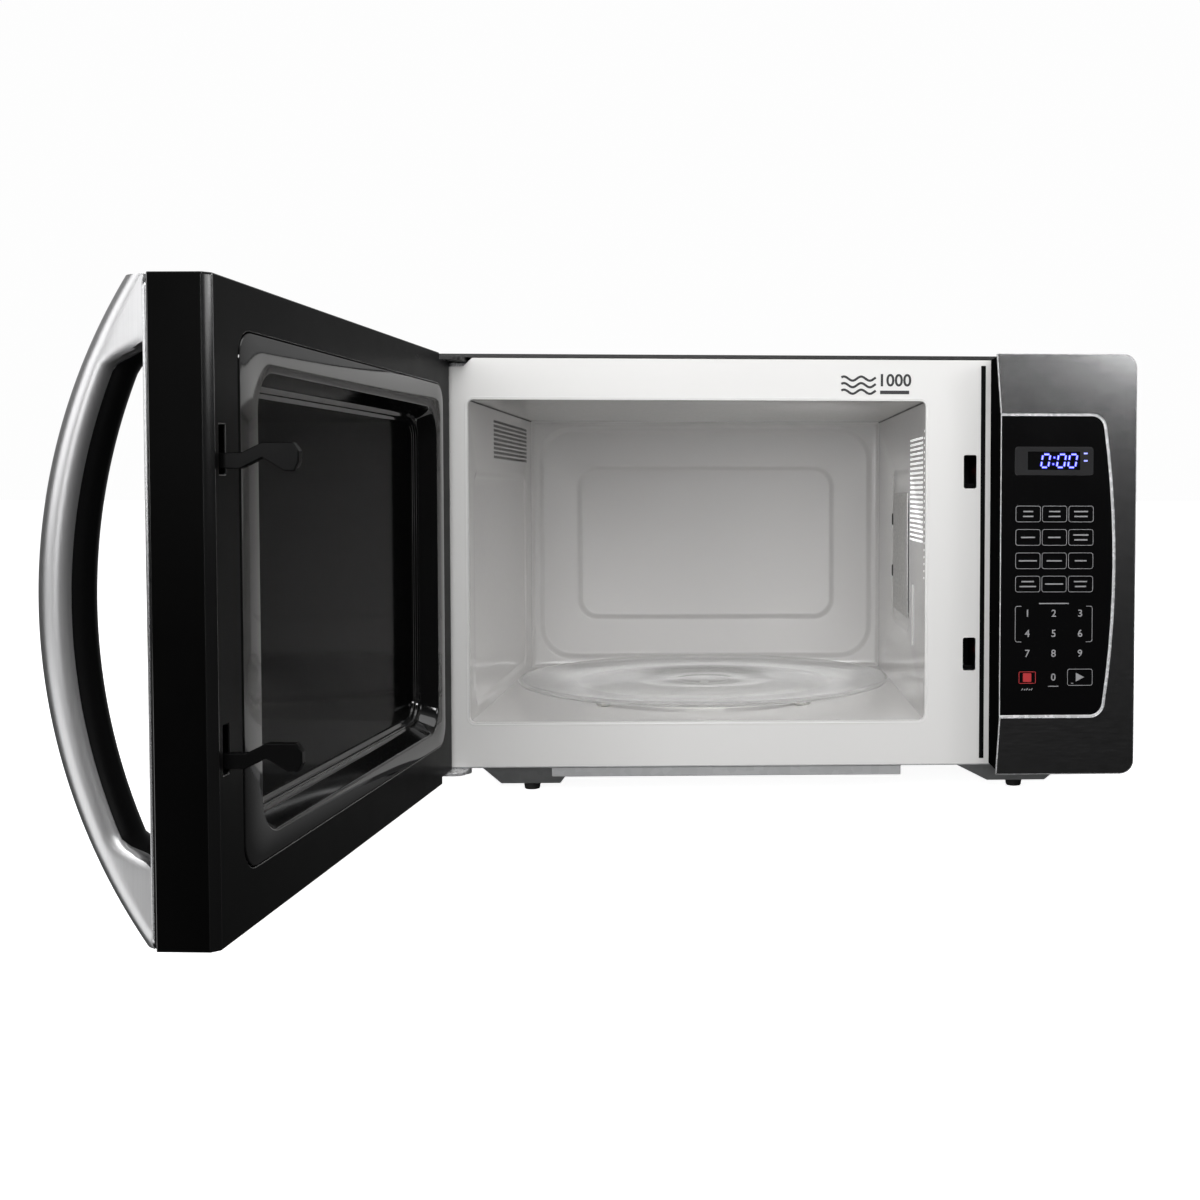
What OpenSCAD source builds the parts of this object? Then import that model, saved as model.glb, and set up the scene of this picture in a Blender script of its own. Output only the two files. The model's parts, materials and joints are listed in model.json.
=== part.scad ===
// Countertop microwave oven with its side-hung door standing open.
// Drawing coordinates: X = 0 at the middle of the cavity, Y = 0 at the painted oven face,
// Z = 0 at the worktop. Every node is then moved so that the origin is at the middle of
// the footprint of the whole oven, door included.

/* [Cabinet] */
// Left side of the cabinet, from the middle of the cavity
cabinet_left = 197.5; // [196:0.5:205]
// Right side of the cabinet, from the middle of the cavity
cabinet_right = 313; // [311:1:320]
// Height of the cabinet's top above the worktop
cabinet_top = 324; // [323:1:330]
// Distance from the oven face to the rear panel
cabinet_depth = 375; // [373:1:390]
// Thickness of the steel sheets
sheet = 1; // [0.8:0.1:1.2]
// Lower edge of the painted oven face
face_bottom = 22; // [21:0.5:24]
// Upper edge of the painted oven face
face_top = 321; // [319:0.5:322]

/* [Cavity] */
// Width of the cavity
cavity_w = 335; // [325:1:336]
// Height of the cavity floor above the worktop
floor_z = 54.5; // [54:0.5:56]
// Height of the cavity
cavity_h = 236.5; // [230:0.5:240]
// Depth of the cavity
cavity_d = 338; // [330:1:342]

/* [Turntable] */
// Radius of the glass tray
tray_r = 156; // [150:1:160]
// Distance of the tray's centre behind the oven face
tray_y = 164; // [161:1:172]
// Distance of the tray's centre from the middle of the cavity
tray_x = 1.5; // [0:0.5:4]
// Nominal radius of a roller
roller_r = 6; // [5.5:0.5:6.5]
// Distance of the rollers from the tray's centre
roller_track_r = 94; // [90:1:98]

/* [Door] */
// Angle through which the door stands open
door_open = 94; // [80:1:95]
// Length of the door beyond its hinge axis
door_reach = 398.5; // [396:0.5:399]
// Lower edge of the door
door_bottom = 16.5; // [15:0.5:18]
// Upper edge of the door
door_top = 321.5; // [320:0.5:323]
// Thickness of the door
door_t = 30.5; // [28:0.5:34]
// How far the bowed handle stands out from the door
handle_reach = 55.3; // [50:0.1:58]
// Width of the handle
handle_w = 26; // [20:1:28]
// How far the latch hooks stand out from the door's inner face
hook_reach = 35.6; // [32:0.2:36]

/* [Control panel] */
// How far the panel stands out in front of the oven face
panel_depth = 42; // [38:1:46]
// Left side of the panel, from the middle of the cavity
panel_left = 215; // [214.5:0.5:218]
// Upper edge of the panel
panel_top = 322.3; // [321:0.1:323]
// Lower edge of the panel
panel_bottom = 21.7; // [21:0.1:23]

/* [Fan] */
// Number of fan blades
fan_blades = 7; // [5:1:9]
// Radius of the fan
fan_r = 50; // [40:1:52]

/* [Hidden] */
$fn = 64;

// Cavity and cabinet
half_w = cavity_w / 2;
ceiling_z = floor_z + cavity_h;
inner_left = -cabinet_left + sheet;
inner_right = cabinet_right - sheet;
rear_y = cabinet_depth - sheet;
hem_t = cabinet_top - face_top;
back_stamp = 6;

// Turntable
track_z = floor_z - roller_r;
tray_z = track_z + 2 * roller_r + 0.1;
tray_t = 4;
tray_rim = 7.4;
recess_r = 118;
coupler_r = 11;
lobe_r = 19;
shaft_r = 3;
running_gap = 0.05;

// Hinge: the door turns on two pins on this axis
hinge_x = -cabinet_left + 9.6;
hinge_y = -10;
hinge_r = 9;
pin_r = 3;
pin_l = 14;
notch_u = 24;

// Door coordinates: U runs along the door away from the hinge, V out of its inner face
inner_v = hinge_r;
skin_t = 2;
front_v = inner_v - door_t;
back_of_skin = front_v + skin_t;
bevel = 3.5;
cover_u = [16, 368.5];
cover_z = [44.5, 299.5];
window_u = [31, 349.5];
window_z = [53, 285.5];
glass_u = [24, 352];
glass_z = [46, 292];

// Latch hooks, heights of the arms' lower edges and their place along the door
hook_u = [384.7, 389.5];
hook_arm_z = [98, 234.4];

// Face slots that the hooks enter
slot_x = [195.8, 205.3];
slot_z = [[91.6, 116.1], [226.6, 251.4]];

// Origin: the middle of the footprint, handle and cord gland included
handle_u = door_reach - 2 - handle_w;
apex_v = front_v - handle_reach;
left_reach = hinge_x - sin(door_open - 90) * (handle_u + handle_w) + cos(door_open - 90) * apex_v;
front_reach = hinge_y - cos(door_open - 90) * door_reach - sin(door_open - 90) * inner_v * 0.4;
gland_out = 6;
origin_x = (left_reach + cabinet_right) / 2;
origin_y = (front_reach + cabinet_depth + gland_out) / 2;

// ---- Helpers -------------------------------------------------------------

// Moves a fixed part from drawing coordinates to the origin of the whole oven
module place() {
    translate([-origin_x, -origin_y, 0]) children();
}

// Moves a part from door coordinates to where the open door holds it
module place_on_door() {
    place() translate([hinge_x, hinge_y, 0]) rotate([0, 0, -door_open]) children();
}

// Box given by its two limits along each axis
module box(x, y, z) {
    translate([x[0], y[0], z[0]]) cube([x[1] - x[0], y[1] - y[0], z[1] - z[0]]);
}

// Flat outline with true round corners, given by its two limits along each axis
module rounded(x, y, r) {
    translate([x[0] + r, y[0]]) square([x[1] - x[0] - 2 * r, y[1] - y[0]]);
    translate([x[0], y[0] + r]) square([x[1] - x[0], y[1] - y[0] - 2 * r]);
    for (cx = [x[0] + r, x[1] - r])
        for (cy = [y[0] + r, y[1] - r])
            translate([cx, cy]) circle(r);
}

// Extrudes an outline drawn in X and Z through a stretch of Y
module along_y(y) {
    translate([0, y[1], 0]) rotate([90, 0, 0]) linear_extrude(y[1] - y[0]) children();
}

// Extrudes an outline drawn in Y and Z through a stretch of X
module along_x(x) {
    translate([x[0], 0, 0]) rotate([90, 0, 90]) linear_extrude(x[1] - x[0]) children();
}

// Round bar along Y, and round bar along X, from one end to the other
module bar_y(x, z, r, y) {
    translate([x, y[1], z]) rotate([90, 0, 0]) cylinder(h = y[1] - y[0], r = r);
}
module bar_x(y, z, r, x) {
    translate([x[0], y, z]) rotate([0, 90, 0]) cylinder(h = x[1] - x[0], r = r);
}

// Points along an arc
function arc(c, r, a0, a1, n) =
    [for (i = [0:n]) let (a = a0 + (a1 - a0) * i / n) c + r * [cos(a), sin(a)]];

// ---- Cabinet -------------------------------------------------------------

cabinet_corner = 4;
module outer_cabinet() color([0.05, 0.05, 0.055]) place() {
    wrap = [-cabinet_left, cabinet_right];
    difference() {
        along_y([0, cabinet_depth]) rounded(wrap, [face_bottom - sheet - 10, cabinet_top], cabinet_corner);
        along_y([8, cabinet_depth + 1])
            rounded([inner_left, inner_right], [face_bottom - 12, cabinet_top - sheet],
                cabinet_corner - sheet);
        box([-cabinet_left + hem_t, cabinet_right - hem_t], [-1, 9], [0, face_top]);
        box([-cabinet_left - 1, cabinet_right + 1], [-1, cabinet_depth + 1], [0, face_bottom - sheet]);
        box([inner_left, inner_right], [-1, 9], [0, face_bottom]);
        side_louvres(inner_right - 1);
        side_louvres(-cabinet_left - 1);
    }
}

// Rows of air slots through a side of the cabinet
module side_louvres(x) {
    for (row = [0:3])
        for (col = [0:7])
            box([x, x + 3], [250 + col * 12, 254 + col * 12], [60 + row * 26, 78 + row * 26]);
}

pan_x = [-108, 150];
pan_z = 14;
pad_z = 5.5;
foot_x = [-126, 240];
foot_y = [29, 345];
module base_plate() color([0.55, 0.56, 0.57]) place() {
    difference() {
        union() {
            box([inner_left, inner_right], [0, rear_y], [face_bottom - sheet, face_bottom]);
            box(pan_x, [1, rear_y - 20], [pan_z, face_bottom - sheet]);
            for (x = foot_x)
                for (y = foot_y)
                    foot_pad(x, y);
        }
        box([pan_x[0] + sheet, pan_x[1] - sheet], [1 + sheet, rear_y - 20 - sheet],
            [pan_z + sheet, face_bottom + 1]);
        for (col = [0:9])
            box([-60 + col * 14, -54 + col * 14], [290, 330], [pan_z - 1, pan_z + 2]);
    }
}

// Pressed pad that carries one foot, sloping on all four sides; the right pads slope further inwards
module foot_pad(x, y) {
    slope = 11;
    inner_slope = x > 0 ? 26 : slope;
    front_slope = 18;
    rear_slope = 9;
    pad_top = face_bottom - sheet;
    intersection() {
        along_y([y - 28, y + 32])
            polygon([[x - 22 - inner_slope, pad_top], [x - 22, pad_z], [x + 22, pad_z],
                [x + 22 + slope, pad_top]]);
        along_x([x - 23 - inner_slope, x + 23 + slope])
            polygon([[y - 9 - front_slope, pad_top], [y - 9, pad_z], [y + 20, pad_z],
                [y + 20 + rear_slope, pad_top]]);
    }
}

module rubber_feet() color([0.03, 0.03, 0.03]) place() {
    for (x = foot_x)
        for (y = foot_y)
            translate([x, y, 0]) cylinder(h = pad_z, r1 = 5.6, r2 = 6.4);
}

gland_x = 280;
gland_z = 58;
gland_r = 8;
cord_hole_r = 4;
module rear_panel() color([0.62, 0.63, 0.64]) place() {
    difference() {
        along_y([rear_y, cabinet_depth])
            rounded([inner_left, inner_right], [face_bottom, cabinet_top - sheet], cabinet_corner - sheet);
        bar_y(gland_x, gland_z, gland_r + running_gap, [rear_y - 1, cabinet_depth + 1]);
        for (row = [0:8])
            for (col = [0:1])
                box([196 + col * 56, 242 + col * 56], [rear_y - 1, cabinet_depth + 1],
                    [196 + row * 9, 200 + row * 9]);
        for (col = [0:11])
            box([-150 + col * 12, -145 + col * 12], [rear_y - 1, cabinet_depth + 1], [228, 262]);
    }
}

// Bush that the mains cord would leave through
module cord_gland() color([0.04, 0.04, 0.04]) place() difference() {
    union() {
        bar_y(gland_x, gland_z, gland_r, [rear_y - 8, cabinet_depth + gland_out]);
        bar_y(gland_x, gland_z, gland_r + 3, [cabinet_depth, cabinet_depth + 3]);
        bar_y(gland_x, gland_z, gland_r + 2, [rear_y - 6, rear_y]);
    }
    bar_y(gland_x, gland_z, cord_hole_r, [rear_y - 9, cabinet_depth + gland_out + 1]);
}

hinge_cut_x = -166;
seam_x = [208.3, 211.8];
module front_frame() color([0.87, 0.87, 0.87]) place() difference() {
    box([inner_left + hem_t - sheet, inner_right - hem_t + sheet], [0, sheet], [face_bottom, face_top]);
    along_y([-1, sheet + 1]) rounded([-half_w, half_w], [floor_z, ceiling_z], 4);
    for (z = slot_z)
        along_y([-1, sheet + 1]) rounded(slot_x, z, 1.5);
    along_y([-1, sheet + 1])
        polygon([[-cabinet_left, face_top - 7], [hinge_cut_x - 4, face_top - 6],
            [hinge_cut_x + 3, face_top + 1], [-cabinet_left, face_top + 1]]);
    box([panel_left + 12, inner_right - 12], [-1, sheet + 1], [40, 296]);
    box(seam_x, [-1, sheet + 1], [face_bottom + 4, face_top - 4]);
}

module cabinet_screws() color([0.7, 0.7, 0.72]) place() {
    for (x = [-180, -60, 60, 180, 296])
        translate([x, cabinet_depth + 1, cabinet_top - 9]) screw_y();
    for (x = [-182, 298])
        for (z = [70, 190])
            translate([x, cabinet_depth + 1, z]) screw_y();
}

// Pan-head screw whose head faces the back
module screw_y() {
    rotate([90, 0, 0]) {
        cylinder(h = 1, r = 4);
        translate([0, 0, -1]) cylinder(h = 1, r1 = 2.4, r2 = 4);
    }
}

// ---- Cavity --------------------------------------------------------------

module cavity_left_wall() color([0.6, 0.6, 0.61]) place()
    box([-half_w - sheet, -half_w], [sheet, cavity_d], [floor_z, ceiling_z]);

wave_y = [104, 206];
wave_z = [122, 223];
module cavity_right_wall() color([0.6, 0.6, 0.61]) place() difference() {
    box([half_w, half_w + sheet], [sheet, cavity_d], [floor_z, ceiling_z]);
    box([half_w - 1, half_w + sheet + 1], [wave_y[0] + 14, wave_y[1] - 14],
        [wave_z[0] + 12, wave_z[1] - 12]);
}

module cavity_ceiling() color([0.6, 0.6, 0.61]) place()
    box([-half_w - sheet, half_w + sheet], [sheet, cavity_d], [ceiling_z, ceiling_z + sheet]);

module cavity_floor() color([0.6, 0.6, 0.61]) place() difference() {
    union() {
        box([-half_w - sheet, half_w + sheet], [sheet, cavity_d], [floor_z - sheet, floor_z]);
        translate([tray_x, tray_y, track_z - sheet])
            cylinder(h = floor_z - track_z + sheet, r = recess_r + sheet);
    }
    translate([tray_x, tray_y, track_z]) cylinder(h = floor_z - track_z + 1, r = recess_r);
    translate([tray_x, tray_y, track_z - sheet - 1]) cylinder(h = sheet + 2, r = 6);
}

// Back wall with two stepped stampings that stand out behind the cavity
module cavity_back() color([0.6, 0.6, 0.61]) place() difference() {
    union() {
        box([-half_w - sheet, half_w + sheet], [cavity_d, cavity_d + sheet],
            [floor_z - sheet, ceiling_z + sheet]);
        along_y([cavity_d, cavity_d + back_stamp + sheet]) rounded([-161, 161], [62, 286], 29);
        along_y([cavity_d, cavity_d + 2 * back_stamp + sheet]) rounded([-123, 123], [102, 246], 18);
    }
    along_y([cavity_d - 1, cavity_d + back_stamp]) rounded([-160, 160], [63, 285], 28);
    along_y([cavity_d - 1, cavity_d + 2 * back_stamp]) rounded([-122, 122], [103, 245], 17);
}

module waveguide_cover() color([0.5, 0.5, 0.49]) place()
    box([half_w - 0.6, half_w], wave_y, wave_z);

// ---- Hinges --------------------------------------------------------------

upper_plate_z = [318, 320.5];
lower_plate_z = [18.5, 21];
module hinge_plate(z) {
    difference() {
        union() {
            box([-cabinet_left + hem_t + 0.2, hinge_cut_x - 2], [hinge_y, 18], z);
            translate([hinge_x, hinge_y, z[0]]) cylinder(h = z[1] - z[0], r = 8);
            box([hinge_x, hinge_cut_x - 10], [hinge_y - 8, hinge_y], z);
            translate([hinge_cut_x - 10, hinge_y, z[0]]) cylinder(h = z[1] - z[0], r = 8);
        }
        translate([hinge_cut_x - 9, 10, z[0] - 1]) cylinder(h = z[1] - z[0] + 2, r = 2.1);
    }
}

module upper_hinge_bracket() color([0.2, 0.2, 0.21]) place() {
    hinge_plate(upper_plate_z);
    translate([hinge_x, hinge_y, upper_plate_z[0] - pin_l]) cylinder(h = pin_l, r = pin_r);
}

module lower_hinge_bracket() color([0.78, 0.78, 0.79]) place() {
    hinge_plate(lower_plate_z);
    translate([hinge_x, hinge_y, lower_plate_z[1]]) cylinder(h = pin_l, r = pin_r);
}

// One flanged screw under each hinge plate
module hinge_screws() color([0.75, 0.75, 0.76]) place() {
    for (z = [upper_plate_z, lower_plate_z])
        translate([hinge_cut_x - 9, 10, z[0] - 3]) {
            cylinder(h = 3, r = 7);
            cylinder(h = z[1] - z[0] + 3, r = 2);
        }
}

// ---- Turntable -----------------------------------------------------------

module turntable_motor() color([0.8, 0.8, 0.78]) place() translate([tray_x, tray_y, track_z - sheet])
    difference() {
        union() {
            translate([0, 0, -16]) cylinder(h = 16, r = 25);
            box([-31, 31], [-6, 6], [-1.5, 0]);
            box([18, 34], [-8, 8], [-13, -4]);
        }
        translate([0, 0, -12]) cylinder(h = 13, r = shaft_r + running_gap);
    }

// Shaft and three-lobed coupler that turn the glass tray
module drive_coupler() color([0.85, 0.83, 0.78]) place() translate([tray_x, tray_y, 0]) {
    translate([0, 0, track_z - sheet - 11]) cylinder(h = 15, r = shaft_r);
    translate([0, 0, track_z + 1]) cylinder(h = tray_z - track_z - 1.3, r = coupler_r);
    for (a = [90, 210, 330])
        rotate([0, 0, a]) {
            box([0, lobe_r - 3], [-3, 3], [track_z + 4, tray_z - 0.3]);
            translate([lobe_r - 3, 0, track_z + 4]) cylinder(h = tray_z - track_z - 4.3, r = 3);
        }
}

module glass_tray() color([0.75, 0.8, 0.78, 0.4]) place() translate([tray_x, tray_y, tray_z]) {
    rotate_extrude()
        polygon([[0, 0], [tray_r - 24, 0], [tray_r - 3, tray_rim - tray_t], [tray_r, tray_rim - tray_t + 1],
            [tray_r, tray_rim], [tray_r - 5, tray_rim], [tray_r - 25, tray_t], [0, tray_t]]);
    for (a = [30, 150, 270])
        rotate([0, 0, a]) box([coupler_r + 1, lobe_r + 2], [-3, 3], [-3.5, 0]);
}

ring_r = 86;
spindle_r = 1.5;
module roller_ring() color([0.8, 0.8, 0.76]) place() translate([tray_x, tray_y, floor_z]) {
    difference() {
        translate([0, 0, -2]) cylinder(h = 4, r = ring_r + 2);
        translate([0, 0, -3]) cylinder(h = 6, r = ring_r - 2);
    }
    for (a = [90, 210, 330])
        rotate([0, 0, a]) {
            bar_x(0, 0, spindle_r, [ring_r, roller_track_r + 7]);
            bar_x(0, 0, spindle_r + 1.5, [roller_track_r + 5, roller_track_r + 7]);
        }
}

module roller(a) {
    place() translate([tray_x, tray_y, floor_z]) rotate([0, 0, a]) difference() {
        bar_x(0, 0, roller_r - 0.2, [roller_track_r - 4.5, roller_track_r + 4.5]);
        bar_x(0, 0, spindle_r + running_gap, [roller_track_r - 6, roller_track_r + 6]);
    }
}
module roller_1() color([0.9, 0.9, 0.88]) roller(90);
module roller_2() color([0.9, 0.9, 0.88]) roller(210);
module roller_3() color([0.9, 0.9, 0.88]) roller(330);

// ---- Microwave generator -------------------------------------------------

outside = half_w + sheet;
guide_t = 30;
guide_y = [104, 212];
guide_z = [124, 266];
tube_y = 158;
tube_z = 232;
guide_end = outside + guide_t;
module waveguide() color([0.7, 0.7, 0.72]) place() difference() {
    box([outside, guide_end], guide_y, guide_z);
    box([outside - 1, guide_end - sheet], [guide_y[0] + sheet, guide_y[1] - sheet],
        [guide_z[0] + sheet, guide_z[1] - sheet]);
    bar_x(tube_y, tube_z, 16, [guide_end - sheet - 1, guide_end + 1]);
}

yoke_x = [guide_end, guide_end + 70];
module magnetron_yoke() color([0.72, 0.72, 0.74]) place() difference() {
    box(yoke_x, [tube_y - 40, tube_y + 40], [tube_z - 32, tube_z + 32]);
    box([yoke_x[0] + 2, yoke_x[1] - 2], [tube_y - 41, tube_y + 41], [tube_z - 30, tube_z + 30]);
    bar_x(tube_y, tube_z, 14, [yoke_x[0] - 1, yoke_x[0] + 3]);
    bar_x(tube_y, tube_z, 10, [yoke_x[1] - 3, yoke_x[1] + 1]);
}

// Anode with its antenna, two magnets and a stack of cooling fins
module magnetron_core() color([0.78, 0.45, 0.3]) place() {
    bar_x(tube_y, tube_z, 12, [guide_end - 24, yoke_x[0] + 2]);
    bar_x(tube_y, tube_z, 27, [yoke_x[0] + 2, yoke_x[0] + 14]);
    bar_x(tube_y, tube_z, 19, [yoke_x[0] + 14, yoke_x[1] - 14]);
    bar_x(tube_y, tube_z, 27, [yoke_x[1] - 14, yoke_x[1] - 2]);
    bar_x(tube_y, tube_z, 9, [yoke_x[1] - 2, yoke_x[1] + 8]);
    for (i = [0:6])
        box([yoke_x[0] + 17 + i * 6, yoke_x[0] + 18 + i * 6], [tube_y - 38, tube_y + 38],
            [tube_z - 29, tube_z + 29]);
}

module magnetron_filter_box() color([0.7, 0.7, 0.72]) place() difference() {
    box([yoke_x[1], yoke_x[1] + 26], [tube_y - 33, tube_y + 33], [tube_z - 29, tube_z + 29]);
    box([yoke_x[1] - 1, yoke_x[1] + 25], [tube_y - 32, tube_y + 32], [tube_z - 28, tube_z + 28]);
    bar_x(tube_y + 14, tube_z, 5, [yoke_x[1] + 20, yoke_x[1] + 30]);
    bar_x(tube_y - 14, tube_z, 5, [yoke_x[1] + 20, yoke_x[1] + 30]);
}

core_x = [218, 306];
core_y = [62, 132];
core_z = [face_bottom, face_bottom + 64];
module transformer_core() color([0.4, 0.4, 0.42]) place() difference() {
    box(core_x, core_y, core_z);
    for (x = [core_x[0] + 16, core_x[0] + 54])
        box([x, x + 18], [core_y[0] - 1, core_y[1] + 1], [core_z[0] + 12, core_z[1] - 12]);
}

module transformer_windings() color([0.75, 0.42, 0.2]) place() difference() {
    box([core_x[0] + 17, core_x[0] + 71], [core_y[0] - 14, core_y[1] + 14],
        [core_z[0] + 13, core_z[1] - 13]);
    box([core_x[0] + 33.5, core_x[0] + 54.5], [core_y[0] - 0.5, core_y[1] + 0.5],
        [core_z[0] + 12, core_z[1] - 12]);
}

can_x = [186, 236];
can_y = [226, 318];
can_z = [face_bottom, face_bottom + 46];
module capacitor() color([0.75, 0.76, 0.78]) place() {
    translate([0, 0, can_z[0]]) linear_extrude(can_z[1] - can_z[0]) rounded(can_x, can_y, 16);
    for (y = [256, 288])
        box([206, 216], [y - 4, y + 4], [can_z[1], can_z[1] + 7]);
}

module capacitor_strap() color([0.68, 0.69, 0.7]) place() {
    strap_y = [264, 280];
    box([can_x[0] - 2, can_x[0]], strap_y, [can_z[0], can_z[1] + 2]);
    box([can_x[1], can_x[1] + 2], strap_y, [can_z[0], can_z[1] + 2]);
    box([can_x[0], can_x[1]], strap_y, [can_z[1], can_z[1] + 2]);
    box([can_x[1] + 2, can_x[1] + 14], strap_y, [can_z[0], can_z[0] + 2]);
}

module hv_diode() color([0.1, 0.1, 0.1]) place() {
    bar_y(246, face_bottom + 6, 4, [230, 250]);
    bar_y(246, face_bottom + 6, 0.9, [250, 262]);
    bar_y(246, face_bottom + 6, 0.9, [218, 230]);
    box([243, 249], [238, 242], [face_bottom, face_bottom + 4]);
}

// ---- Cooling -------------------------------------------------------------

fan_x = 241;
fan_z = 232;
shroud_y = [318, 321];
module fan_shroud() color([0.85, 0.85, 0.83]) place() difference() {
    box([outside, inner_right], shroud_y, [150, 316]);
    bar_y(fan_x, fan_z, fan_r + 4, [shroud_y[0] - 1, shroud_y[1] + 1]);
}

module fan_motor() color([0.5, 0.5, 0.52]) place() difference() {
    union() {
        box([fan_x - 30, fan_x + 30], [shroud_y[1] + 6, shroud_y[1] + 30], [fan_z - 24, fan_z + 24]);
        box([fan_x - 17, fan_x + 17], [shroud_y[1] + 2, shroud_y[1] + 38], [fan_z - 44, fan_z - 24]);
        bar_y(fan_x, fan_z, 12, [shroud_y[1], shroud_y[1] + 6]);
        box([fan_x - 66, fan_x + 66], [shroud_y[1], shroud_y[1] + 2], [fan_z - 5, fan_z + 5]);
    }
    bar_y(fan_x, fan_z, 2.5 + running_gap, [shroud_y[0] - 1, shroud_y[1] + 28]);
}

module fan_rotor() color([0.15, 0.15, 0.16]) place() translate([fan_x, shroud_y[0] - 12, fan_z]) {
    bar_y(0, 0, 14, [-10, 8]);
    bar_y(0, 0, 2.5, [8, 36]);
    for (k = [0:fan_blades - 1])
        rotate([0, k * 360 / fan_blades, 0]) translate([12, 0, 0]) rotate([32, 0, 0]) fan_blade();
}

// One flat fan blade, wider at its tip
module fan_blade() {
    translate([0, 0.8, 0]) rotate([90, 0, 0]) linear_extrude(1.6)
        polygon([[0, -7], [fan_r - 16, -13], [fan_r - 12.5, -6],
            [fan_r - 12.5, 6], [fan_r - 16, 13], [0, 7]]);
}

// ---- Electrics -----------------------------------------------------------

module filter_board() color([0.1, 0.35, 0.15]) place() {
    box([299, 300.6], [180, 300], [face_bottom, 112]);
    box([276, 299], [196, 222], [44, 72]);
    bar_x(252, 60, 13, [281, 299]);
    bar_y(292, 98, 3, [200, 226]);
    for (y = [200, 226])
        box([288, 299], [y - 2, y + 2], [94, 102]);
}

lamp_y = 50;
lamp_x = outside + 14;
module lamp_holder() color([0.9, 0.88, 0.82]) place() {
    box([outside, outside + 28], [lamp_y - 14, lamp_y + 14], [252, 262]);
    box([outside, outside + 2], [lamp_y - 14, lamp_y + 14], [262, 282]);
}

module cavity_lamp() color([0.95, 0.93, 0.85]) place() translate([lamp_x, lamp_y, 0]) {
    translate([0, 0, 242]) cylinder(h = 10, r = 7);
    translate([0, 0, 228]) cylinder(h = 14, r = 10);
    translate([0, 0, 228]) sphere(10);
}

module thermal_cutout() color([0.12, 0.12, 0.12]) place() {
    bar_x(262, 214, 8, [outside, outside + 9]);
    box([outside, outside + 1], [250, 274], [209, 219]);
    for (y = [258, 266])
        box([outside + 9, outside + 15], [y - 0.5, y + 0.5], [211, 217]);
}

bracket_x = 206.5;
switch_y = 38;
tip_z = [103, 240];
module interlock_bracket() color([0.92, 0.92, 0.9]) place() {
    box([bracket_x, bracket_x + 2.5], [sheet, switch_y + 26], [84, 262]);
    box([bracket_x + 2.5, bracket_x + 8], [sheet, sheet + 2.5], [84, 262]);
    for (arm_z = hook_arm_z)
        box([slot_x[0] + 1, bracket_x], [13, 24], [arm_z - 13, arm_z - 4]);
    for (z = tip_z)
        box([slot_x[0], bracket_x], [switch_y + 2, switch_y + 22], [z - 12, z - 9]);
}

module door_switches() color([0.9, 0.9, 0.9]) place() {
    for (z = tip_z)
        difference() {
            box([slot_x[0], bracket_x], [switch_y, switch_y + 26], [z - 9, z + 9]);
            box([196.8, 201.6], [switch_y - 1, switch_y + 6], [z - 2.1, z + 2.1]);
        }
    difference() {
        box([slot_x[0], bracket_x], [switch_y, switch_y + 26], [tip_z[0] + 9, tip_z[0] + 27]);
        box([slot_x[0] + 4, bracket_x - 3], [switch_y + 24, switch_y + 27], [tip_z[0] + 15, tip_z[0] + 21]);
    }
}

module switch_plunger(z) {
    box([197, 201.4], [switch_y - 3, switch_y + 3], [z - 2, z + 2]);
}
module upper_switch_plunger() color([0.8, 0.1, 0.1]) place() switch_plunger(tip_z[1]);
module lower_switch_plunger() color([0.8, 0.1, 0.1]) place() switch_plunger(tip_z[0]);

// ---- Control panel -------------------------------------------------------

panel_right = cabinet_right;
housing_front = -panel_depth + 2;
module control_housing() color([0.04, 0.04, 0.045]) place() difference() {
    along_y([housing_front, 0])
        polygon(concat([[panel_left + 0.5, panel_bottom + 0.8], [panel_left + 0.5, panel_top - 0.8]],
            arc([panel_right - 10, panel_top - 10], 9.2, 90, 0, 8),
            arc([panel_right - 10, panel_bottom + 10], 9.2, 0, -90, 8)));
    box([panel_left + 3, panel_right - 4], [housing_front + 2.5, 1], [panel_bottom + 4, panel_top - 4]);
    box([228, 279], [housing_front - 1, housing_front + 3], [237.5, 254.5]);
}

// D-shaped outline of the keypad, made larger by a margin
keypad_z = [64.5, 278];
bulge_r = 712;
bulge_x = 296.3;
function keypad_outline(m) =
    let (mid = (keypad_z[0] + keypad_z[1]) / 2,
        half = (keypad_z[1] - keypad_z[0]) / 2 + m,
        c = [bulge_x + m - bulge_r, mid],
        corner = 9 + m,
        turn = asin((half - corner) / (bulge_r - corner)),
        hub = (bulge_r - corner) * [cos(turn), sin(turn)])
    concat([[panel_left + 1 - m, mid - half], [panel_left + 1 - m, mid + half]],
        arc(c + hub, corner, 90, turn, 6), arc(c, bulge_r, turn * 0.8, -turn * 0.8, 8),
        arc(c + [hub[0], -hub[1]], corner, -turn, -90, 6));

module control_bezel() color([0.45, 0.45, 0.46]) place() difference() {
    along_y([-panel_depth, housing_front])
        polygon(concat([[panel_left - 2, panel_bottom], [panel_left + 0.6, keypad_z[0] - 1],
                [panel_left + 0.3, keypad_z[1] + 1], [panel_left - 3, panel_top]],
            arc([panel_right - 10, panel_top - 10], 10, 90, 0, 8),
            arc([panel_right - 10, panel_bottom + 10], 10, 0, -90, 8)));
    along_y([-panel_depth - 1, housing_front + 1]) polygon(keypad_outline(1.3));
}

module keypad_trim() color([0.8, 0.8, 0.82]) place() difference() {
    along_y([-panel_depth, housing_front]) intersection() {
        polygon(keypad_outline(1.3));
        translate([panel_left + 0.5, 0]) square([100, 400]);
    }
    along_y([-panel_depth - 1, housing_front + 1]) polygon(keypad_outline(0));
}

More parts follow.
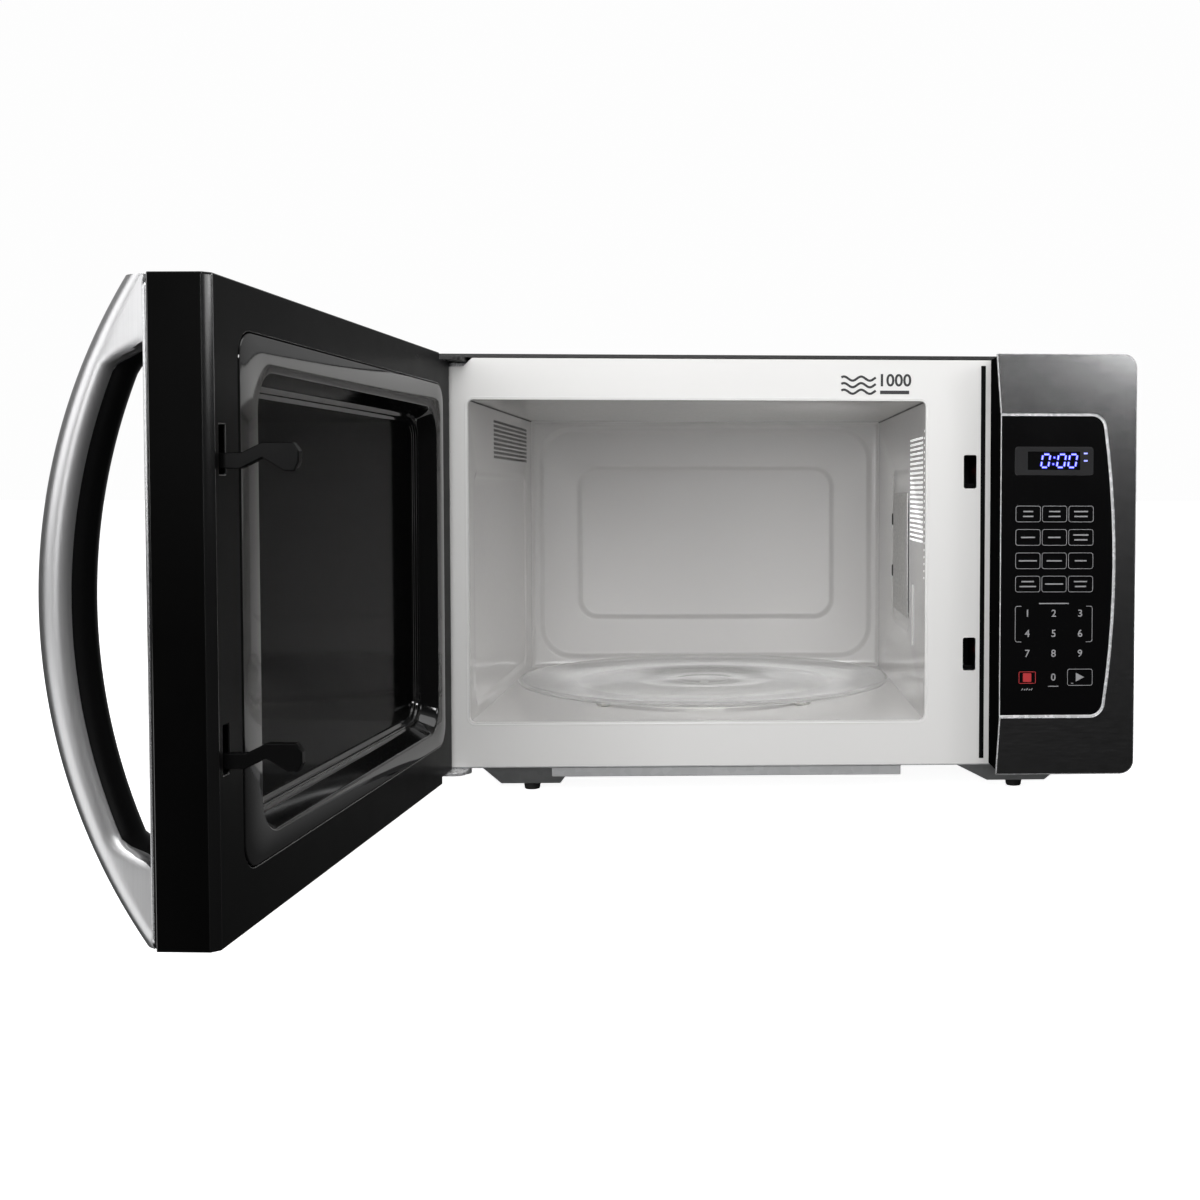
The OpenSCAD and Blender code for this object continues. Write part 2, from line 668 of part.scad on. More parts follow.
window_x = [225.5, 282];
display_z = [236, 256.3];
module keypad_panel() color([0.02, 0.02, 0.022]) place() difference() {
    along_y([-panel_depth + 0.5, housing_front]) polygon(keypad_outline(0));
    along_y([-panel_depth, housing_front + 1]) rounded(window_x, display_z, 2.5);
}

module display_window() color([0.2, 0.2, 0.21]) place()
    along_y([-panel_depth + 0.4, housing_front]) rounded(window_x, display_z, 2.5);

module display_module() color([0.05, 0.05, 0.2]) place() {
    box([228.5, 278.5], [housing_front + 0.2, housing_front + 7], [238, 254]);
    box([226, 281], [housing_front + 7, housing_front + 8.6], [230, 262]);
}

module control_board() color([0.1, 0.32, 0.14]) place() {
    board_y = housing_front + 20;
    box([222, 305], [board_y, board_y + 1.6], [44, 296]);
    box([230, 252], [board_y + 1.6, board_y + 18], [60, 82]);
    box([262, 284], [board_y + 1.6, board_y + 18], [60, 82]);
    translate([268, board_y + 12, 110]) cylinder(h = 30, r = 8);
    box([262, 274], [board_y + 1.6, board_y + 12], [112, 138]);
    box([236, 266], [board_y + 1.6, board_y + 5], [180, 192]);
}

// ---- Door ----------------------------------------------------------------

// Plan outline of the door's plastic frame: round about the hinge, bevelled at the free edge
module door_plan() {
    circle(hinge_r);
    translate([-hinge_r, back_of_skin]) square([hinge_r, -back_of_skin]);
    polygon([[0, back_of_skin], [door_reach, back_of_skin], [door_reach, inner_v - bevel],
        [door_reach - bevel, inner_v], [0, inner_v]]);
}

channel_u = [382.5, 392];
module door_frame() color([0.045, 0.045, 0.05]) place_on_door() difference() {
    translate([0, 0, door_bottom]) linear_extrude(door_top - door_bottom) door_plan();
    // Room for the hinge plates, and a bore for each pin
    for (z = [[door_bottom - 1, lower_plate_z[1] + 0.5], [upper_plate_z[0] - 0.5, door_top + 1]])
        box([-hinge_r - 1, notch_u], [-hinge_r - 1, inner_v + 1], z);
    translate([0, 0, lower_plate_z[1]]) cylinder(h = pin_l + 1, r = pin_r + running_gap);
    translate([0, 0, upper_plate_z[0] - pin_l - 1]) cylinder(h = pin_l + 1, r = pin_r + running_gap);
    // Pocket for the steel pan and the choke cover, and the window behind it
    along_y([-9, inner_v + 1]) rounded(cover_u, cover_z, 14);
    along_y([back_of_skin - 1, -8])
        rounded([window_u[0] + 6, window_u[1] - 6], [window_z[0] + 6, window_z[1] - 6], 12);
    // Channel for the latch bar, with the two slots that its hooks pass through
    box(channel_u, [-8, 4], [80, 292]);
    for (z = hook_arm_z)
        box([hook_u[0] - 0.9, hook_u[1] + 0.9], [3, inner_v + 1], [z - 2.5, z + 20]);
}

// Steel pan: perforated in the window, folded up round its rim to make the choke
module door_pan() color([0.1, 0.1, 0.11]) place_on_door() {
    rim_u = [cover_u[0] + 0.5, cover_u[1] - 0.5];
    rim_z = [cover_z[0] + 0.5, cover_z[1] - 0.5];
    difference() {
        along_y([-9, 6]) rounded(rim_u, rim_z, 13.5);
        along_y([-8, 7]) rounded([rim_u[0] + 1, rim_u[1] - 1], [rim_z[0] + 1, rim_z[1] - 1], 12.5);
    }
}

// Plastic cover that closes the choke, with a deep lip round the window
module door_choke_cover() color([0.07, 0.07, 0.075]) place_on_door() {
    difference() {
        union() {
            along_y([6, inner_v + 0.5]) rounded([cover_u[0] + 0.5, cover_u[1] - 0.5],
                [cover_z[0] + 0.5, cover_z[1] - 0.5], 13.5);
            along_y([-6.5, 6]) rounded(window_u, window_z, 16);
        }
        along_y([-8, inner_v + 2])
            rounded([window_u[0] + 3, window_u[1] - 3], [window_z[0] + 3, window_z[1] - 3], 13);
    }
}

module door_inner_film() color([0.12, 0.12, 0.13, 0.5]) place_on_door()
    along_y([-8, -6.5]) rounded([window_u[0] - 4, window_u[1] + 4], [window_z[0] - 4, window_z[1] + 4], 20);

module door_front_trim() color([0.55, 0.55, 0.56]) place_on_door() difference() {
    along_y([front_v, back_of_skin]) rounded([-hinge_r, door_reach], [door_bottom, door_top], 6);
    along_y([front_v - 1, back_of_skin + 1]) rounded(glass_u, glass_z, 12);
}

module door_glass() color([0.02, 0.02, 0.02]) place_on_door()
    along_y([front_v + 0.3, back_of_skin])
        rounded([glass_u[0] + 0.1, glass_u[1] - 0.1], [glass_z[0] + 0.1, glass_z[1] - 0.1], 11.9);

// Handle: an arched bow over the whole height of the free edge
handle_mid_z = 173;
bow_r = 290;
grip_depth = 16;
bar_depth = 23.8;
split_r = bow_r - grip_depth;
gap_r = bow_r - bar_depth;
module bow_outline(r, apex) {
    intersection() {
        translate([apex + r, handle_mid_z]) circle(r, $fn = 180);
        translate([front_v - 60, door_bottom + 0.5]) square([60, door_top - door_bottom - 1]);
    }
}

module handle_grip() color([0.62, 0.62, 0.63]) place_on_door()
    along_x([handle_u, handle_u + handle_w]) difference() {
        bow_outline(bow_r, apex_v);
        bow_outline(split_r, apex_v + grip_depth);
    }

module handle_liner() color([0.05, 0.05, 0.055]) place_on_door()
    along_x([handle_u, handle_u + handle_w]) difference() {
        bow_outline(split_r, apex_v + grip_depth);
        translate([0.01, 0]) bow_outline(gap_r, apex_v + bar_depth);
    }

// Latch bar that slides up and down in the door and carries both hooks
module latch_bar() color([0.06, 0.06, 0.065]) place_on_door() {
    box([383, 391.5], [-7, -1], [hook_arm_z[0] - 8, hook_arm_z[1] + 22]);
    for (z = hook_arm_z)
        along_x(hook_u) polygon([[-2, z], [18, z], [28, z + 5], [38, z - 1], [42.6, z - 1],
            [inner_v + hook_reach, z + 3], [inner_v + hook_reach, z + 8], [42, z + 12], [28, z + 12],
            [19, z + 7.5], [-2, z + 7]]);
}

spring_z = [hook_arm_z[1] + 22, 291];
spring_turns = 8;
spring_ring = 12;
spring_sides = 6;
spring_r = 2.4;
wire_r = 0.5;
steps = spring_turns * spring_ring;
spring_rise = spring_z[1] - spring_z[0] - 2 * wire_r;
function coil_point(i, s) =
    let (a = 360 * i / spring_ring, b = 360 * s / spring_sides, r = spring_r + wire_r * cos(b))
    [r * cos(a), r * sin(a), spring_z[0] + wire_r + spring_rise * i / steps + wire_r * sin(b)];

// Spring above the latch bar that presses it down
module latch_spring() color([0.7, 0.7, 0.7]) place_on_door() translate([387.2, -4, 0])
    polyhedron(
        points = [for (i = [0:steps]) for (s = [0:spring_sides - 1]) coil_point(i, s)],
        faces = concat(
            [[for (s = [0:spring_sides - 1]) s]],
            [for (i = [0:steps - 1]) for (s = [0:spring_sides - 1]) for (half = [0, 1])
                let (t = (s + 1) % spring_sides, p = i * spring_sides, q = p + spring_sides)
                half == 0 ? [p + s, q + s, q + t] : [p + s, q + t, p + t]],
            [[for (s = [spring_sides - 1:-1:0]) steps * spring_sides + s]]));

outer_cabinet();
base_plate();
rear_panel();
front_frame();
cavity_left_wall();
cavity_right_wall();
cavity_ceiling();
cavity_floor();
cavity_back();
waveguide_cover();
rubber_feet();
upper_hinge_bracket();
lower_hinge_bracket();
hinge_screws();
cabinet_screws();
cord_gland();
turntable_motor();
drive_coupler();
glass_tray();
roller_ring();
roller_1();
roller_2();
roller_3();
waveguide();
magnetron_yoke();
magnetron_core();
magnetron_filter_box();
transformer_core();
transformer_windings();
capacitor();
capacitor_strap();
hv_diode();
fan_shroud();
fan_motor();
fan_rotor();
filter_board();
lamp_holder();
cavity_lamp();
thermal_cutout();
interlock_bracket();
door_switches();
upper_switch_plunger();
lower_switch_plunger();
control_housing();
control_bezel();
keypad_panel();
keypad_trim();
display_window();
display_module();
control_board();
door_frame();
door_choke_cover();
door_pan();
door_inner_film();
door_glass();
door_front_trim();
handle_grip();
handle_liner();
latch_bar();
latch_spring();
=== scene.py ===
import json
import math

import bmesh
import bpy
from mathutils import Matrix, Vector


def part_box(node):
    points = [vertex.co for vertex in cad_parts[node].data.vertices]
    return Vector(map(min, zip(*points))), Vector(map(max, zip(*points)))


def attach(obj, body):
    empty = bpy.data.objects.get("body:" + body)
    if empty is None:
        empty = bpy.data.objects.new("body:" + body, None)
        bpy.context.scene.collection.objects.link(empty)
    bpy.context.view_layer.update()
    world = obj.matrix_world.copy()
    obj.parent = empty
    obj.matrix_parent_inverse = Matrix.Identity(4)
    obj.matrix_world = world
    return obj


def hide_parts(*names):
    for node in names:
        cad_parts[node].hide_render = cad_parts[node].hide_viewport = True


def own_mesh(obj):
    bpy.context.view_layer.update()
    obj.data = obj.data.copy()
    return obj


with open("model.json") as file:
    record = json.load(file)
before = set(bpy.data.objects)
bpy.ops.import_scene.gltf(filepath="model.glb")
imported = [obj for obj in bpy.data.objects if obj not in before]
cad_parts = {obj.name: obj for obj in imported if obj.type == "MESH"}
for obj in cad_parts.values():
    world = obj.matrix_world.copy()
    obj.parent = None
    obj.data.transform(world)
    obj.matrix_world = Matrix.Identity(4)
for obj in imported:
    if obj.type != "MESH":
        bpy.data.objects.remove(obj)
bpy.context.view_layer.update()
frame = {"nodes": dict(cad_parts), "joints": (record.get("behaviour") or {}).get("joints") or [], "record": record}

# ---- Places ----------------------------------------------------------------
# Two sets of millimetres are used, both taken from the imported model: the oven's own
# (X from the middle of the cavity, Y from the painted face, Z from the worktop) and the
# door's (U along the door from its hinge axis, V out of its inner face).

MM = 0.001
NODES = frame["nodes"]
LEFT_WALL, RIGHT_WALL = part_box("cavity_left_wall"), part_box("cavity_right_wall")
MID_X = (LEFT_WALL[1].x + RIGHT_WALL[0].x) / 2
FACE_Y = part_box("front_frame")[0].y


def oven(x, y, z):
    """A place in the model, in metres, from the oven's millimetres."""
    return Vector((MID_X + x * MM, FACE_Y + y * MM, z * MM))


def oven_box(node):
    """A fixed node's lowest and highest corner in the oven's millimetres."""
    shift = Vector((MID_X, FACE_Y, 0))
    lo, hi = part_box(node)
    return (lo - shift) / MM, (hi - shift) / MM


HINGE = next(j for j in frame["joints"] if j["name"] == "door_hinge")
DOOR_ANGLE = math.radians(HINGE["range_deg"][1])
HINGE_AT = Matrix.Translation((HINGE["pos_m"][0], HINGE["pos_m"][1], 0))
DOOR_PLACE = HINGE_AT @ Matrix.Rotation(-DOOR_ANGLE, 4, "Z")


def door(u, v, z):
    """A place in the model, in metres, from the door's millimetres."""
    return DOOR_PLACE @ (Vector((u, v, z)) * MM)


def shrunk(limits, inset):
    """Two limits moved towards each other."""
    return limits[0] + inset, limits[1] - inset


# ---- Camera and lights -----------------------------------------------------

CAMERA_AT = oven(23.3, -1058.9, 224.7)
CAMERA_TURN = (2.433, -2.191, 0.071)
LENS, SENSOR = 43.2, 36
SHIFT = (-0.1594, -0.0450)


def turned(yaw, pitch, roll):
    """Rotation of a camera that looks along +Y, then turns right, up and over, in degrees."""
    yaw, pitch, roll = (math.radians(a) for a in (yaw, pitch, roll))
    level = math.cos(pitch)
    forward = Vector((math.sin(yaw) * level, math.cos(yaw) * level, math.sin(pitch)))
    right = Vector((math.cos(yaw), -math.sin(yaw), 0))
    up = right.cross(forward)
    right, up = (math.cos(roll) * right + math.sin(roll) * up,
                 math.cos(roll) * up - math.sin(roll) * right)
    return Matrix((right, up, -forward)).transposed().to_4x4()


camera_data = bpy.data.cameras.new("camera")
camera_data.sensor_width, camera_data.lens = SENSOR, LENS
camera_data.shift_x, camera_data.shift_y = SHIFT
camera = bpy.data.objects.new("camera", camera_data)
camera.matrix_world = Matrix.Translation(CAMERA_AT) @ turned(*CAMERA_TURN)
bpy.context.scene.collection.objects.link(camera)
bpy.context.scene.camera = camera
bpy.context.scene.view_settings.view_transform = "Standard"


def area_light(name, place, target, size, power, reflected=True, lit=True):
    """A softbox, width by height, that the camera doesn't see.

    Its reflection is left out unless reflected, and its light on matt surfaces unless lit.
    """
    data = bpy.data.lights.new(name, "AREA")
    data.shape = "RECTANGLE"
    data.size, data.size_y = size
    data.energy = power
    lamp = bpy.data.objects.new(name, data)
    aim = (Vector(target) - Vector(place)).to_track_quat("-Z", "Y").to_matrix().to_4x4()
    lamp.matrix_world = Matrix.Translation(place) @ aim
    lamp.visible_camera = False
    lamp.visible_glossy, lamp.visible_diffuse = reflected, lit
    bpy.context.scene.collection.objects.link(lamp)


area_light("key_front", (-0.1, -1.7, 1.3), (0.05, 0, 0.15), (1.7, 1.7), 27, reflected=False)
area_light("fill_low", (-0.2, -2.2, 0.3), (0.05, 0, 0.12), (1.6, 0.5), 17, reflected=False)
area_light("fill_back", (0.2, 2.4, 1.4), (0, 0.2, 0.2), (2.0, 1.4), 20, reflected=False)
area_light("fill_right", (2.4, 0.7, 0.9), (0.3, 0.2, 0.15), (1.2, 1.0), 12)
area_light("softbox_top", (0.4, -0.3, 1.6), (0.1, 0.1, 0.15), (1.3, 0.9), 5)
area_light("softbox_left", (-1.61, -1.11, 0.75), (-0.3, -0.35, 0.2), (1.1, 1.1), 9)
area_light("softbox_low", (-1.15, -0.95, -0.4), (-0.27, -0.39, 0.1), (1.1, 0.9), 5, lit=False)
area_light("softbox_right", (1.0, -1.1, 0.62), (-0.2, -0.4, 0.3), (0.35, 0.4), 1.3)
area_light("panel_glint", (0.54, -0.64, 0.50), (0.3, 0, 0.31), (0.2, 0.2), 0.8)
area_light("root_glint", (-1.0, -2.2, 0.5), (-0.38, -0.4, 0.28), (0.5, 0.7), 5, lit=False)
area_light("cavity_glint", (-0.1, -2.2, 1.0), (0, 0.3, 0.1), (1.3, 0.3), 16, lit=False)
area_light("oven_lamp", oven(162, 53, 227), oven(-100, 160, 60), (0.07, 0.08), 0.12,
           reflected=False)


UP_BEHIND = (0, 0.5, 0.866)
WORLD_LEVELS = ((0.0, 0.015), (0.45, 0.02), (0.6, 0.07), (0.78, 0.38))
BACKDROP = (0.985, 0.985, 0.985, 1)


def studio_world():
    """Pale all round to the eye; as light, brightest above and behind the oven, dim in front."""
    world = bpy.data.worlds.new("studio")
    bpy.context.scene.world = world
    world.use_nodes = True
    tree = world.node_tree
    tree.nodes.clear()
    new = tree.nodes.new
    coord, toward = new("ShaderNodeTexCoord"), new("ShaderNodeVectorMath")
    reach = new("ShaderNodeMapRange")
    toward.operation = "DOT_PRODUCT"
    toward.inputs[1].default_value = UP_BEHIND
    tree.links.new(coord.outputs["Generated"], toward.inputs[0])
    reach.inputs["From Min"].default_value = -1
    tree.links.new(toward.outputs["Value"], reach.inputs["Value"])
    ramp = new("ShaderNodeValToRGB")
    tree.links.new(reach.outputs["Result"], ramp.inputs["Fac"])
    while len(ramp.color_ramp.elements) < len(WORLD_LEVELS):
        ramp.color_ramp.elements.new(0.5)
    for element, (place, level) in zip(ramp.color_ramp.elements, WORLD_LEVELS):
        element.position = place
        element.color = (level, level, level, 1)
    light, pale = new("ShaderNodeBackground"), new("ShaderNodeBackground")
    mix, path = new("ShaderNodeMixShader"), new("ShaderNodeLightPath")
    pale.inputs["Color"].default_value = BACKDROP
    tree.links.new(ramp.outputs["Color"], light.inputs["Color"])
    tree.links.new(path.outputs["Is Camera Ray"], mix.inputs[0])
    tree.links.new(light.outputs[0], mix.inputs[1])
    tree.links.new(pale.outputs[0], mix.inputs[2])
    tree.links.new(mix.outputs[0], new("ShaderNodeOutputWorld").inputs[0])


studio_world()

# ---- Materials -------------------------------------------------------------

MIX_A, MIX_B, MIX_RESULT = 6, 7, 2  # the colour sockets of a Mix node


class Finish:
    """A Principled material whose patterns live in the object's own space, in metres."""

    def __init__(self, name, colour, roughness, metallic=0.0, **sockets):
        self.material = bpy.data.materials.new(name)
        self.material.use_nodes = True
        self.tree = self.material.node_tree
        self.shader = self.tree.nodes["Principled BSDF"]
        self.put("Base Color", (*colour, 1))
        self.put("Roughness", roughness)
        self.put("Metallic", metallic)
        for socket, value in sockets.items():
            self.put(socket.replace("_", " "), value)
        self.colour = colour
        self.space = self.tree.nodes.new("ShaderNodeTexCoord").outputs["Object"]

    def put(self, socket, value):
        self.shader.inputs[socket].default_value = value

    def link(self, output, socket):
        self.tree.links.new(output, socket)

    def mapped(self, scale=(1, 1, 1), turn=0.0):
        """The object's space turned about Z, then scaled."""
        turned = self.tree.nodes.new("ShaderNodeVectorRotate")
        turned.rotation_type = "Z_AXIS"
        turned.inputs["Angle"].default_value = turn
        self.link(self.space, turned.inputs["Vector"])
        scaled = self.tree.nodes.new("ShaderNodeVectorMath")
        scaled.operation = "MULTIPLY"
        self.link(turned.outputs[0], scaled.inputs[0])
        scaled.inputs[1].default_value = scale
        return scaled.outputs[0]

    def noise(self, scale, detail=2.0, stretch=(1, 1, 1), turn=0.0):
        node = self.tree.nodes.new("ShaderNodeTexNoise")
        node.inputs["Scale"].default_value = scale
        node.inputs["Detail"].default_value = detail
        self.link(self.mapped(stretch, turn), node.inputs["Vector"])
        return node.outputs["Fac"]

    def cells(self, scale, spread=1.0, feature="F1", output="Distance", stretch=(1, 1, 1),
              turn=0.0):
        node = self.tree.nodes.new("ShaderNodeTexVoronoi")
        node.feature = feature
        node.inputs["Scale"].default_value = scale
        node.inputs["Randomness"].default_value = spread
        self.link(self.mapped(stretch, turn), node.inputs["Vector"])
        return node.outputs[output]

    def fit(self, value, low, high, start=0.25, end=0.75):
        """A pattern's values from start to end, spread from low to high."""
        node = self.tree.nodes.new("ShaderNodeMapRange")
        limits = {"From Min": start, "From Max": end, "To Min": low, "To Max": high}
        for socket, number in limits.items():
            node.inputs[socket].default_value = number
        self.link(value, node.inputs["Value"])
        return node.outputs["Result"]

    def tones(self, value, dark, light, start=0.3, end=0.7):
        """Base colour between two shades of the finish's own colour, or between two colours."""
        node = self.tree.nodes.new("ShaderNodeMix")
        node.data_type = "RGBA"
        for socket, shade in ((MIX_A, dark), (MIX_B, light)):
            colour = shade if isinstance(shade, tuple) else (c * shade for c in self.colour)
            node.inputs[socket].default_value = (*colour, 1)
        self.link(self.fit(value, 0, 1, start, end), node.inputs[0])
        self.link(node.outputs[MIX_RESULT], self.shader.inputs["Base Color"])
        return self

    def painted_shade_side(self, direction, level):
        """Painted shade: a darker tone where the surface looks along a direction of the object's own space."""
        new, base = self.tree.nodes.new, self.shader.inputs["Base Color"]
        toward, node = new("ShaderNodeVectorMath"), new("ShaderNodeMix")
        toward.operation, node.data_type = "DOT_PRODUCT", "RGBA"
        toward.inputs[1].default_value = direction
        self.link(new("ShaderNodeTexCoord").outputs["Normal"], toward.inputs[0])
        self.link(self.fit(toward.outputs["Value"], 0, 1, 0.93, 0.99), node.inputs[0])
        self.link(base.links[0].from_socket, node.inputs[MIX_A])
        node.inputs[MIX_B].default_value = (level, level, level, 1)
        self.link(node.outputs[MIX_RESULT], base)

    def sheen_of(self, value, low, high):
        """Roughness between two values."""
        self.link(self.fit(value, low, high), self.shader.inputs["Roughness"])
        return self

    def relief(self, value, depth, strength=1.0):
        """Bump of a given depth in millimetres."""
        node = self.tree.nodes.new("ShaderNodeBump")
        node.inputs["Strength"].default_value = strength
        node.inputs["Distance"].default_value = depth * MM
        self.link(value, node.inputs["Height"])
        self.link(node.outputs[0], self.shader.inputs["Normal"])
        return self


def painted(name, colour, roughness, peel, **sockets):
    """Stoved paint: fine orange peel, slow changes of tone and small changes of gloss."""
    f = Finish(name, colour, roughness, **sockets)
    f.tones(f.noise(7, 1), 0.992, 1.006)
    f.sheen_of(f.noise(260, 1), roughness * 0.94, roughness * 1.07)
    return f.relief(f.noise(450, 1), peel)


def moulded(name, colour, roughness, grain=0.01, **sockets):
    """Moulded plastic: fine spark-eroded grain, slightly uneven in gloss."""
    f = Finish(name, colour, roughness, **sockets)
    f.tones(f.noise(18, 1), 0.94, 1.06)
    f.sheen_of(f.noise(40, 2), roughness * 0.9, roughness * 1.12)
    return f.relief(f.noise(1800, 2), grain)


def brushed(name, colour, roughness, stretch, depth=0.004, contrast=0.1, gloss=0.3):
    """Brushed sheet: long fine scratches along one axis."""
    f = Finish(name, colour, roughness, metallic=1.0)
    lines = f.noise(1, 3, tuple(s * 3.0 for s in stretch))
    fine = f.noise(1, 2, tuple(s * 14.0 for s in stretch))
    f.tones(lines, 1 - contrast, 1 + contrast)
    f.sheen_of(fine, roughness * (1 - gloss), roughness * (1 + gloss))
    return f.relief(fine, depth)


def plated(name, colour, roughness, metallic=1.0):
    """Plated or bare metal with fine wear."""
    f = Finish(name, colour, roughness, metallic)
    f.tones(f.noise(120, 4), 0.85, 1.08)
    f.sheen_of(f.noise(300, 4), roughness * 0.7, roughness * 1.5)
    return f.relief(f.noise(900, 3), 0.004)


def galvanised(name, colour, roughness):
    """Zinc-coated sheet with spangles a few millimetres across."""
    f = Finish(name, colour, roughness, metallic=0.25)
    f.tones(f.cells(170, output="Color"), 0.95, 1.04)
    f.sheen_of(f.noise(90, 2), roughness * 0.9, roughness * 1.12)
    return f.relief(f.noise(500, 2), 0.006)


HOLE_PITCH = 1.9


def screen():
    """Perforated steel painted black: round holes in a square grid, seen through the film."""
    f = Finish("screen_mesh", (0.004, 0.004, 0.0042), 0.55)
    per_metre = 1 / (HOLE_PITCH * MM)
    holes = f.cells(1, 0.0, stretch=(per_metre, 0.001, per_metre), turn=DOOR_ANGLE)
    # the holes are a darker colour, not openings: painted shade for the dark seen through them
    f.tones(holes, (0.001, 0.001, 0.001), (0.008, 0.008, 0.0084), 0.36, 0.42)
    return f.relief(holes, 0.05, 0.6)


def mica():
    """Pressed mica sheet: soft flakes and faint layers."""
    f = Finish("mica_sheet", (0.60, 0.595, 0.58), 0.5)
    f.tones(f.noise(160, 6, (1, 1, 2.5)), 0.86, 1.12)
    f.sheen_of(f.noise(70, 3), 0.4, 0.62)
    return f.relief(f.noise(420, 4), 0.02)


def windings():
    """Enamelled wire laid in close turns."""
    f = Finish("winding_wire", (0.45, 0.16, 0.05), 0.3, metallic=0.6)
    turns = f.tree.nodes.new("ShaderNodeTexWave")
    turns.bands_direction = "Z"
    turns.inputs["Scale"].default_value = 180
    turns.inputs["Distortion"].default_value = 0.4
    f.link(f.space, turns.inputs["Vector"])
    f.tones(turns.outputs["Fac"], 0.45, 1.2)
    return f.relief(turns.outputs["Fac"], 0.3)


def laminations():
    """Stacked core sheets, varnished."""
    f = Finish("core_sheets", (0.12, 0.12, 0.13), 0.5, metallic=0.5)
    layers = f.noise(1, 1, (20, 900, 20))
    f.tones(layers, 0.6, 1.4)
    return f.relief(layers, 0.08)


def circuit_board():
    """Solder-masked board with copper tracks under the mask."""
    f = Finish("board_mask", (0.02, 0.12, 0.04), 0.35)
    tracks = f.cells(160, 0.6, "DISTANCE_TO_EDGE")
    f.tones(tracks, 1.7, 0.8, 0.02, 0.06)
    return f.relief(tracks, 0.03)


def clear_glass():
    """Pressed clear glass, faintly rippled."""
    f = Finish("tray_clear_glass", (0.72, 0.72, 0.715), 0.1, IOR=1.3, Transmission_Weight=0.75,
               Alpha=0.8)
    f.sheen_of(f.noise(60, 3), 0.07, 0.14)
    return f.relief(f.noise(70, 2), 0.003)


def rubber():
    """Soft black rubber, matt with a fine grain."""
    f = Finish("soft_rubber", (0.012, 0.012, 0.012), 0.75)
    f.sheen_of(f.noise(200, 4), 0.65, 0.9)
    return f.relief(f.noise(800, 3), 0.03)


def glowing(name, colour, strength):
    """A lit surface, slightly uneven."""
    f = Finish(name, colour, 0.4, Emission_Strength=strength)
    f.put("Emission Color", (*colour, 1))
    f.tones(f.noise(900, 2), 0.9, 1.1)
    return f


ALONG_X, ALONG_Z = (9, 500, 500), (500, 500, 9)  # stretches that lay scratches along an axis
CAVITY_COAT = {"Coat_Weight": 0.3, "Coat_Roughness": 0.12}
FINISHES = {
    "cabinet_black": painted("cabinet_paint", (0.007, 0.007, 0.0072), 0.34, 0.02),
    "galvanised": galvanised("zinc_sheet", (0.5, 0.505, 0.51), 0.42),
    "white_enamel": painted("face_paint", (0.75, 0.745, 0.735), 0.3, 0.0),
    "grey_enamel": painted("cavity_paint", (0.735, 0.725, 0.715), 0.16, 0.001, **CAVITY_COAT),
    "mica": mica(),
    "rubber": rubber(),
    "zinc": plated("zinc_plate", (0.66, 0.66, 0.67), 0.28, 0.5),
    "steel": plated("steel_sheet", (0.5, 0.5, 0.51), 0.35),
    "natural_plastic": moulded("natural_plastic", (0.66, 0.655, 0.635), 0.45),
    "glass_clear": clear_glass(),
    "copper": windings(),
    "laminations": laminations(),
    "aluminium": plated("aluminium_can", (0.7, 0.71, 0.72), 0.3),
    "black_plastic": moulded("black_plastic", (0.0032, 0.0032, 0.0033), 0.3,
                             Specular_IOR_Level=0.08),
    "board_green": circuit_board(),
    "lamp_glass": glowing("lamp_glass", (1.0, 0.97, 0.92), 1.2),
    "red_plastic": moulded("red_plastic", (0.55, 0.02, 0.02), 0.4),
    "brushed_stainless": brushed("stainless_panel", (0.41, 0.41, 0.415), 0.21, ALONG_X),
    "black_glass": moulded("window_glass", (0.006, 0.006, 0.006), 0.06, 0.001, Coat_Weight=0.6,
                           Coat_Roughness=0.03),
    "keypad_black": moulded("keypad_film", (0.0022, 0.0022, 0.0024), 0.14, 0.002),
    "chrome_trim": plated("chrome_trim", (0.78, 0.78, 0.79), 0.22, 0.3),
    "smoke": moulded("smoked_window", (0.022, 0.022, 0.023), 0.2, 0.002,
                     Specular_IOR_Level=0.3),
}
GRIP_STEEL = brushed("stainless_grip", (0.50, 0.50, 0.505), 0.34, ALONG_Z, 0.0008, 0.03, 0.08)
GLOSS_COVER = moulded("choke_cover_gloss", (0.0035, 0.0035, 0.0036), 0.07, 0.001,
                      Specular_IOR_Level=0.8)
HOUSING = moulded("housing_matt", (0.004, 0.004, 0.0041), 0.7, Specular_IOR_Level=0.0)
DOOR_BLACK = moulded("door_black", (0.0062, 0.0062, 0.0063), 0.3, Specular_IOR_Level=0.025)
# the door's free edge, which looks along U, is coloured darker than the rest of the same moulding: painted shade
DOOR_BLACK.painted_shade_side((door(1, 0, 0) - door(0, 0, 0)).normalized(), 0.0006)
HOOK_BLACK = moulded("hook_gloss", (0.002, 0.002, 0.0021), 0.25, Specular_IOR_Level=0.06)
EDGE_GLOSS = moulded("moulding_edge", (0.004, 0.004, 0.0041), 0.18, Specular_IOR_Level=1.0)
# a lighter, less metallic copy of the bezel's stainless for its rounded edges: a painted highlight along them
BEZEL_HIGHLIGHT_EDGE = plated("bezel_edge_highlight", (0.62, 0.62, 0.63), 0.25, 0.4)
PRESSED_BASE = galvanised("pressed_base", (0.40, 0.405, 0.41), 0.5)
